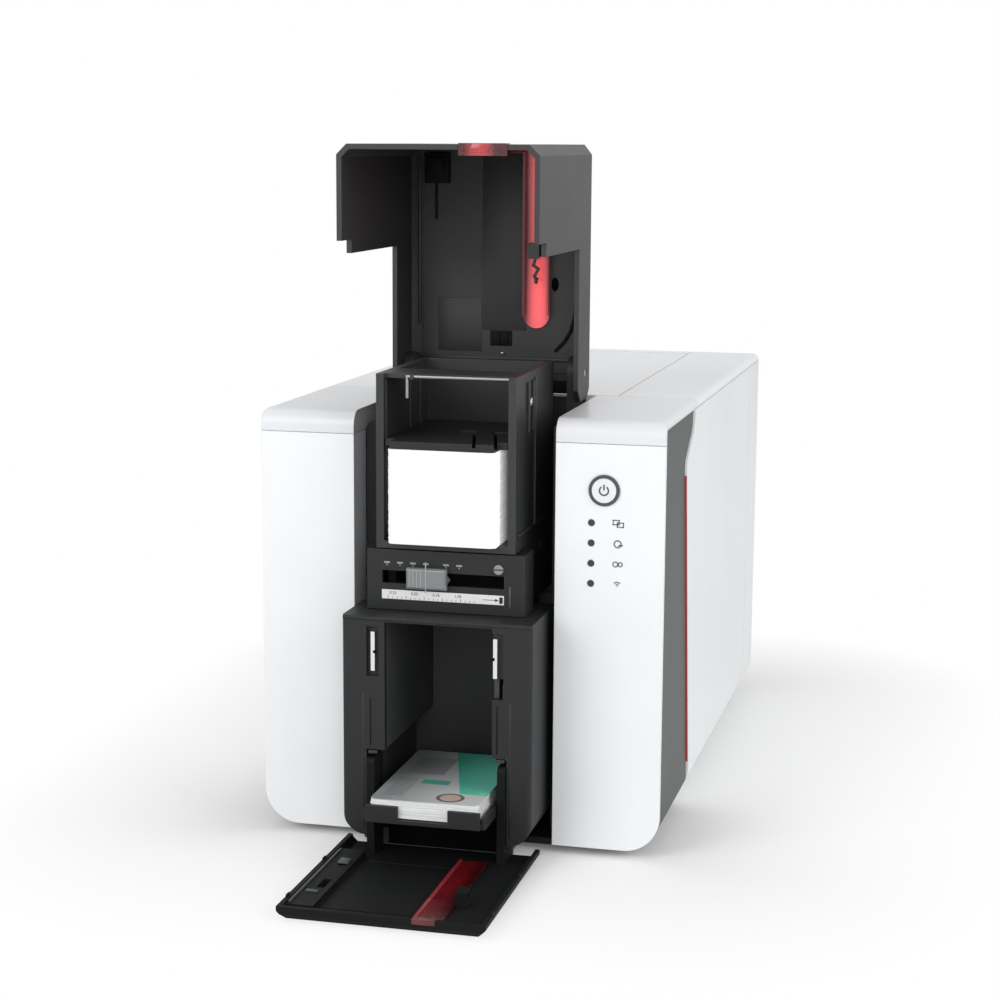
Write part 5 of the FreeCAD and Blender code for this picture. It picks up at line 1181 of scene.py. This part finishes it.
@dataclass
class CardFeeder:
    """Small parts of the feeder: ribs, a screw and near-black floors in the weight's grooves, which are
    painted shade.
    """

    half: float = 35.0
    front: float = -15.0

    def build(self) -> None:
        """Add every small part of the feeder."""
        ribs = Form()
        for y in (8.0, 17.6):
            ribs.block((self.half - SUNK, y - 0.9, 206), (self.half + 1.6, y + 0.9, 231), 0.4)
        ribs.block((self.half - SUNK, 22.5, 158), (self.half + 1.2, 24.0, 232), 0.4)
        ribs.block((self.half - SUNK, self.front + 5.0, 157.0), (self.half + 1.0, 60.0, 158.4), 0.4)
        ribs.block((-self.half - 1.0, self.front + 5.0, 157.0), (-self.half + SUNK, 60.0, 158.4), 0.4)
        ribs.make("feeder_wall_ribs", Finish.FEEDER, "printer")
        screw = Form()
        screw.rod((self.half - SUNK, 12.6, 220.6), (self.half + 1.5, 12.6, 220.6), 2.3, 0.4, 28)
        screw.make("feeder_screw", Finish.STEEL, "printer")
        rails = Form()
        for side in (-1, 1):
            x = side * 30.6
            rails.block((min(x, x + side * 0.7), -12.0, 160), (max(x, x + side * 0.7), -10.8, 232), 0.2)
        for y in (30.0, 48.0):
            rails.block((-31.3, y, 157), (-30.6, y + 1.2, 232), 0.2)
        rails.make("feeder_inner_ribs", Finish.FEEDER, "printer")
        self.groove_floors()

    def groove_floors(self) -> None:
        """Near-black floors of the two bent grooves in the card weight: painted shade in the grooves."""
        floors = Form()
        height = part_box("card_weight")[1].z / MM - DATUM.rise - 1.8
        for x, left, right in ((15.5, 7.5, 1.8), (26.2, 0.0, 7.5)):
            floors.plate(Axis.Z, [
                (x + 0.15, -22.8), (x + 1.75, -22.8), (x - 8.4, 17.0), (x - 10.0, 17.0)],
                height - 0.05, height + 0.1, 0.0)
            floors.block((x - 11.8 - left, 17.2, height - 0.05), (x - 12.2 + right, 23.8, height + 0.1), 0.0)
        floors.make("weight_groove_painted_shade", Finish.PIT, "weight")


@dataclass
class ThicknessGauge:
    """Marks, numbers, fittings and slider ridges of the thickness gauge."""

    face: float = -15.0
    marks: tuple[float, ...] = (-29.6, -23.0, -16.4, -9.8, 0.4, 7.0)
    numbers: tuple[str, ...] = ("0.25", "0.50", "0.76", "1.00")
    ink_front: float = -15.34
    ink_back: float = -15.28
    ridges: int = 4
    ticks: int = 20
    long_tick: int = 4

    def build(self) -> None:
        """Add every small part of the gauge."""
        dots = Form()
        for x in self.marks:
            dots.block((x - 1.5, self.face - PROUD, 142.0), (x + 1.5, self.face + 0.05, 143.0), 0.1, 1)
            dots.block((x - 0.3, self.face - PROUD, 140.9), (x + 0.3, self.face + 0.05, 141.7), 0.05, 1)
        dots.make("gauge_marks", Finish.MARK, "printer")
        pointer = Form()
        pointer.block((-9.15, -19.0, 128.9), (-8.65, -18.6, 144.2), 0.1, 1)
        for step in range(self.ridges):
            x = -17.4 + 1.9 * step
            pointer.block((x, -19.0, 131.6), (x + 0.5, -18.7, 139.4), 0.1, 1)
        pointer.block((-18.6, -18.95, 139.6), (0.8, -18.6, 140.2), 0.1, 1)
        pointer.make("slider_ridges", Finish.EDGE, "gauge_slide")
        nib = Form()
        nib.plate(Axis.Y, [(1.1, 138.4), (3.2, 135.6), (1.1, 132.8)], -18.0, -16.0, 0.3)
        nib.make("slider_nib", Finish.CLIP, "gauge_slide")
        boxes("gauge_fittings", Finish.CLIP, "printer", (
            ((32.0, self.face - 0.5, 122.6), (33.2, self.face + 0.05, 133.6), 0.3),
            ((24.2, self.face - 1.15, 141.35), (30.2, self.face - 0.98, 142.15), 0.05, 1)))
        front, back = self.ink_front, self.ink_back
        sign = Form()
        sign.block((19.0, front, 126.35), (25.4, back, 126.65), 0.02, 1)
        sign.plate(Axis.Y, [(25.2, 127.3), (27.0, 126.5), (25.2, 125.7)], front, back, 0.0)
        sign.block((27.4, front, 125.0), (29.0, back, 128.2), 0.3, 1)
        sign.make("label_arrow", Finish.INK, "printer")
        ticks = Form()
        for step in range(self.ticks):
            x = -29.0 + 2.3 * step
            height = 1.5 if step % self.long_tick == 0 else 0.8
            ticks.block((x - 0.12, front, 124.6), (x + 0.12, back, 124.6 + height), 0.02, 1)
        ticks.make("label_ticks", Finish.INK, "printer")
        for index, text in enumerate(self.numbers):
            words("label_number_%d" % index, text, (-26.5 + 11.0 * index, self.face - 0.32, 127.3), 1.5,
                  "printer", Finish.INK)


@dataclass
class OutputUnit:
    """Small parts of the output box, the tray and the door."""

    face: float = -31.5
    door_floor: float = -0.5

    def build(self) -> None:
        """Add every small part of the output unit."""
        trim = Form()
        trim.block((-47.2, self.face - PROUD, 116.6), (47.2, self.face + SUNK, 118.5), 0.3)
        for side in (-1, 1):
            near, far = sorted((side * 36.4, side * 37.6))
            trim.block((near, self.face - PROUD, 12.0), (far, self.face + SUNK, 80.0), 0.1)
        trim.make("box_face_trim", Finish.BLACK, "printer")
        self.keeper_parts()
        stops = Form()
        for side in (-1, 1):
            near, far = sorted((side * 29.8, side * 34.4))
            stops.block((near, self.face - 0.4, 49.8), (far, self.face + 2.0, 51.4), 0.3)
        stops.make("box_arm_stops", Finish.BAY, "printer")
        boxes("tray_under_ribs", Finish.BLACK, "tray", [
            ((x - 0.5, -50.0, 22.4), (x + 0.5, 24.0, 23.1), 0.2) for x in (-14.0, 0.0, 14.0)])
        self.door_parts()

    def keeper_parts(self) -> None:
        """Dark collars on the steel keepers, grooves below them and a near-black sheet over the chute's apron
        that is painted shade.
        """
        low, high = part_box("door_keepers")
        middle = (low.z + high.z) / 2 / MM - DATUM.rise
        collars = Form()
        grooves = Form()
        for outer, way in ((low.x, 1.0), (high.x, -1.0)):
            x = outer / MM - DATUM.module
            near, far = sorted((x + 1.2 * way, x + 2.6 * way))
            collars.block((near, self.face - 0.2, middle - 0.9), (far, self.face + 1.2, middle + 0.5), 0.2)
            near, far = sorted((x - 0.6 * way, x + 0.2 * way))
            grooves.block((near, self.face - PROUD, 54.0), (far, self.face + SUNK, 78.0), 0.1)
        collars.make("keeper_collars", Finish.PIT, "printer")
        grooves.make("box_face_grooves", Finish.DOOR, "printer")
        # near-black sheet on the chute's apron: painted shade
        boxes("chute_apron_painted_shade", Finish.PIT, "printer", (
            ((-28.6, -16.6, -0.6), (28.6, -16.15, 19.0), 0.15),))

    def door_parts(self) -> None:
        """Rim nubs, rail steps, floor lines and the rib along the door's window; the steps' lighter grey and
        the rib's lighter red are painted highlights.
        """
        floor = self.door_floor
        nubs = Form()
        for y in (-110.5, -58.0):
            nubs.block((47.9, y - 2.0, 3.0), (49.1, y + 2.0, 4.4), 0.4)
            nubs.block((-49.1, y - 2.0, 3.0), (-47.9, y + 2.0, 4.4), 0.4)
        nubs.make("door_rim_nubs", Finish.DOOR, "door")
        # the steps' lighter clip grey is a painted highlight along the door's left rail
        boxes("door_rail_steps", Finish.CLIP, "door", (
            ((-46.6, -116.0, 2.0), (-45.4, -40.0, 3.1), 0.3),
            ((-41.5, -60.0, 2.0), (-36.0, -53.0, 3.1), 0.4, 3),
            ((-43.5, -101.0, 2.0), (-37.5, -98.6, 3.0), 0.3)))
        # the ridge's lighter red is a painted highlight line down the door's window
        boxes("door_window_ridge", Finish.RED_RIB, "door", (
            ((13.6, -121.6, floor + 1.2), (15.2, -37.4, floor + 2.6), 0.5, 3),))
        boxes("door_floor_lines", Finish.DOOR, "door", [
            ((-32.0, y - 0.4, floor - 0.05), (11.8, y + 0.4, floor + 0.35), 0.15) for y in (-112.0, -46.0)])


@dataclass
class ControlTower:
    """Power mark on the button and the small icons beside the lights."""

    button: tuple[float, float] = (72.7, 180.5)
    icon_x: float = 79.6
    heights: tuple[float, ...] = (164.4, 154.4, 144.4, 134.4)
    ink_front: float = -0.06
    ink_back: float = 0.02
    ink_depth: float = 0.08

    def build(self) -> None:
        """Add the marks."""
        shift = -DATUM.module
        x, z = self.button[0] + shift, self.button[1]
        front, back, depth = self.ink_front, self.ink_back, self.ink_depth
        power = Form()
        power.band((x, -1.18, z), 2.2, 0.8, 34.0, 326.0, depth)
        power.block((x - 0.4, -1.27, z + 0.2), (x + 0.4, -1.15, z + 3.1), 0.04, 1)
        power.make("button_power_mark", Finish.MARK_DARK, "button")
        icons = Form()
        ix = self.icon_x + shift
        top, second, third, last = self.heights
        for dx, dz in ((-0.9, 0.6), (1.2, -0.6)):
            for low, high in (((-1.8, -1.3), (1.8, -0.7)), ((-1.8, 0.8), (1.8, 1.4)),
                              ((-1.8, -1.3), (-1.2, 1.4)), ((1.2, -1.3), (1.8, 1.4))):
                icons.block((ix + dx + low[0], front, top + dz + low[1]),
                            (ix + dx + high[0], back, top + dz + high[1]), 0.01, 1)
        icons.band((ix, back, second), 1.7, 0.8, 0.0, 360.0, depth)
        icons.block((ix + 0.2, front, second - 1.0), (ix + 2.6, back, second - 0.3), 0.01, 1)
        icons.band((ix - 1.0, back, third), 1.2, 0.7, 0.0, 360.0, depth)
        icons.band((ix + 1.4, back, third), 1.0, 0.7, 0.0, 360.0, depth)
        for radius in (1.0, 2.1):
            icons.band((ix, back, last - 0.9), radius, 0.7, -45.0, 45.0, depth)
        icons.rod((ix, back, last - 0.9), (ix, front, last - 0.9), 0.3, 0.02, 12)
        icons.make("light_icons", Finish.ICON, "printer")


@dataclass
class PrintMechanism:
    """Small parts inside the case, seen with the top cover open."""

    board_x: float = -59.6
    supply_ridges: int = 7
    ridge_pitch: float = 16.0

    def build(self) -> None:
        """Add parts on the boards, the motor and the supply."""
        x = self.board_x
        parts = Form()
        for y, z in ((140, 120), (140, 140), (150, 100), (250, 150), (262, 150), (274, 150)):
            parts.rod((x, y, z), (x - 7.0, y, z), 3.6, 0.5, 24)
        parts.make("board_capacitors", Finish.CAST, "printer")
        boxes("board_sockets", Finish.BUSH, "printer", [
            ((x - 5.0, y, 156), (x - SUNK, y + 14.0, 164), 0.4) for y in (130, 170, 210)])
        motor = Form()
        motor.rod((1.4, 165.0, 60.0), (2.2, 165.0, 60.0), 12.0, 0.3, 48)
        motor.make("motor_end_boss", Finish.PLATE, "printer")
        vents = Form()
        for index in range(self.supply_ridges):
            y = 170.0 + self.ridge_pitch * index
            vents.block((58.8, y, 60.0), (80.6, y + 3.0, 60.5), 0.2)
        vents.make("supply_ridges", Finish.PLATE, "printer")


@dataclass(frozen=True)
class Lamp:
    """Soft square lamp, with its place and size in metres and its power in watts."""

    name: str
    place: Point
    size: float
    power: float

    def hang(self, aim: Point) -> None:
        """Add the lamp.

        Args:
            aim: Point that it faces.
        """
        data = bpy.data.lights.new(self.name, "AREA")
        data.shape = "SQUARE"
        data.size = self.size
        data.energy = self.power
        lamp = bpy.data.objects.new(self.name, data)
        bpy.context.scene.collection.objects.link(lamp)
        lamp.location = self.place
        lamp.rotation_mode = "QUATERNION"
        lamp.rotation_quaternion = (Vector(aim) - Vector(self.place)).to_track_quat("-Z", "Y")
        log.info("%s of %.1f W", self.name, self.power)


@dataclass
class Studio:
    """Pale floor, soft lamps and the camera at the photograph's angle."""

    eye: Point = (268.0, -996.0, 347.0)
    yaw: float = 13.94
    pitch: float = 9.60
    roll: float = 0.35
    lens: float = 76.6
    sensor: float = 36.0
    near: float = 0.01
    far: float = 60.0
    aim: Point = (0.0, 0.0, 0.15)
    lamps: tuple[Lamp, ...] = (
        Lamp("key_lamp", (-1.3, -2.0, 1.2), 1.5, 24.5),
        Lamp("front_lamp", (0.7, -2.4, 0.9), 1.0, 11.0),
        Lamp("right_lamp", (2.2, -0.7, 1.2), 1.8, 25.0),
        Lamp("top_lamp", (-0.3, 0.2, 2.3), 1.8, 7.0),
    )
    room: float = 0.40
    reach: float = 8.0
    foot: Point = (0.105, 0.175, 0.06)
    floor_lift: float = 0.07
    floor_fade: float = 0.16

    def camera(self) -> None:
        """Place the camera."""
        data = bpy.data.cameras.new("photo_camera")
        data.lens = self.lens
        data.sensor_width = self.sensor
        data.clip_start, data.clip_end = self.near, self.far
        camera = bpy.data.objects.new("photo_camera", data)
        bpy.context.scene.collection.objects.link(camera)
        yaw, pitch, roll = (math.radians(a) for a in (self.yaw, self.pitch, self.roll))
        ahead = Vector((-math.sin(yaw) * math.cos(pitch), math.cos(yaw) * math.cos(pitch), -math.sin(pitch)))
        right = Vector((math.cos(yaw), math.sin(yaw), 0.0))
        up = right.cross(ahead)
        turned_right = right * math.cos(roll) + up * math.sin(roll)
        turned_up = up * math.cos(roll) - right * math.sin(roll)
        matrix = Matrix((turned_right, turned_up, -ahead)).transposed().to_4x4()
        place = Vector((self.eye[0], self.eye[1] + DATUM.front, self.eye[2] + DATUM.rise)) * MM
        camera.matrix_world = Matrix.Translation(place) @ matrix
        bpy.context.scene.camera = camera

    def lights(self) -> None:
        """Place the lamps and the room's light."""
        for lamp in self.lamps:
            lamp.hang(self.aim)
        world = bpy.data.worlds.new("pale_room")
        bpy.context.scene.world = world
        bench = Bench("pale_room", world)
        path = bench.node("ShaderNodeLightPath")
        seen = (bench.signal(path, "Is Camera Ray") + bench.signal(path, "Is Glossy Ray")
                + bench.signal(path, "Is Transmission Ray")).held()
        room = bench.node("ShaderNodeBackground", {}, {"Color": WHITE, "Strength": self.room})
        backdrop = bench.node("ShaderNodeBackground", {}, {"Color": WHITE, "Strength": 1.0})
        mix = bench.node("ShaderNodeMixShader", {}, {
            "Fac": seen, "Shader": room.outputs["Background"], "Shader_001": backdrop.outputs["Background"]})
        bench.node("ShaderNodeOutputWorld", {}, {"Surface": mix.outputs["Shader"]})

    def floor(self) -> None:
        """Lay the pale floor, which turns into the white backdrop away from the printer."""
        mesh = bpy.data.meshes.new("pale_floor")
        reach = self.reach
        mesh.from_pydata([(-reach, -reach, 0), (reach, -reach, 0), (reach, reach, 0), (-reach, reach, 0)], [],
                         [(0, 1, 2, 3)])
        ground = bpy.data.objects.new("pale_floor", mesh)
        bpy.context.scene.collection.objects.link(ground)
        bench = Bench("floor_white")
        colour = bench.mix(bench.noise(2.0, 2.0), (0.93, 0.93, 0.93), (0.95, 0.95, 0.95))
        near = bench.node("ShaderNodeBsdfPrincipled", {}, {
            "Base Color": colour, "Roughness": 0.8, "Specular IOR Level": 0.05,
            "Emission Color": WHITE, "Emission Strength": self.floor_lift})
        far = bench.node("ShaderNodeEmission", {}, {"Color": WHITE, "Strength": 1.0})
        side = (bench.along(Axis.X).size() - self.foot[0]).held()
        depth = ((bench.along(Axis.Y) - self.foot[2]).size() - self.foot[1]).held()
        away = (((side * side + depth * depth) ** 0.5) * (1.0 / self.floor_fade)).held()
        shown = bench.node("ShaderNodeMixShader", {}, {
            "Fac": away, "Shader": near.outputs["BSDF"], "Shader_001": far.outputs["Emission"]})
        path = bench.node("ShaderNodeLightPath")
        final = bench.node("ShaderNodeMixShader", {}, {
            "Fac": bench.signal(path, "Is Camera Ray"), "Shader": near.outputs["BSDF"],
            "Shader_001": shown.outputs["Shader"]})
        bench.node("ShaderNodeOutputMaterial", {}, {"Surface": final.outputs["Shader"]})
        mesh.materials.append(bench.material)

    def build(self) -> None:
        """Set up the whole studio."""
        self.camera()
        self.lights()
        self.floor()
        bpy.context.scene.view_settings.view_transform = "Standard"


def main() -> None:
    """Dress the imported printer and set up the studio."""
    logging.basicConfig(level=logging.INFO, format="%(message)s")
    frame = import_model()
    DATUM.settle()
    Painter().paint(frame["nodes"])
    low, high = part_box("printed_cards")
    card = PrintedCard("printed_card_face", low, high).build()
    CardStack("blank_cards", "blank_card_stack", "blank_stack", "card_stock", 61).build(Finish.BLANK)
    CardStack("printed_cards", "printed_card_stack", "printed_stack", "card_print", 12, slip=0.3).build(card)
    CardHood().build()
    CardFeeder().build()
    ThicknessGauge().build()
    OutputUnit().build()
    ControlTower().build()
    PrintMechanism().build()
    Studio().build()


if __name__ == "__main__":
    main()
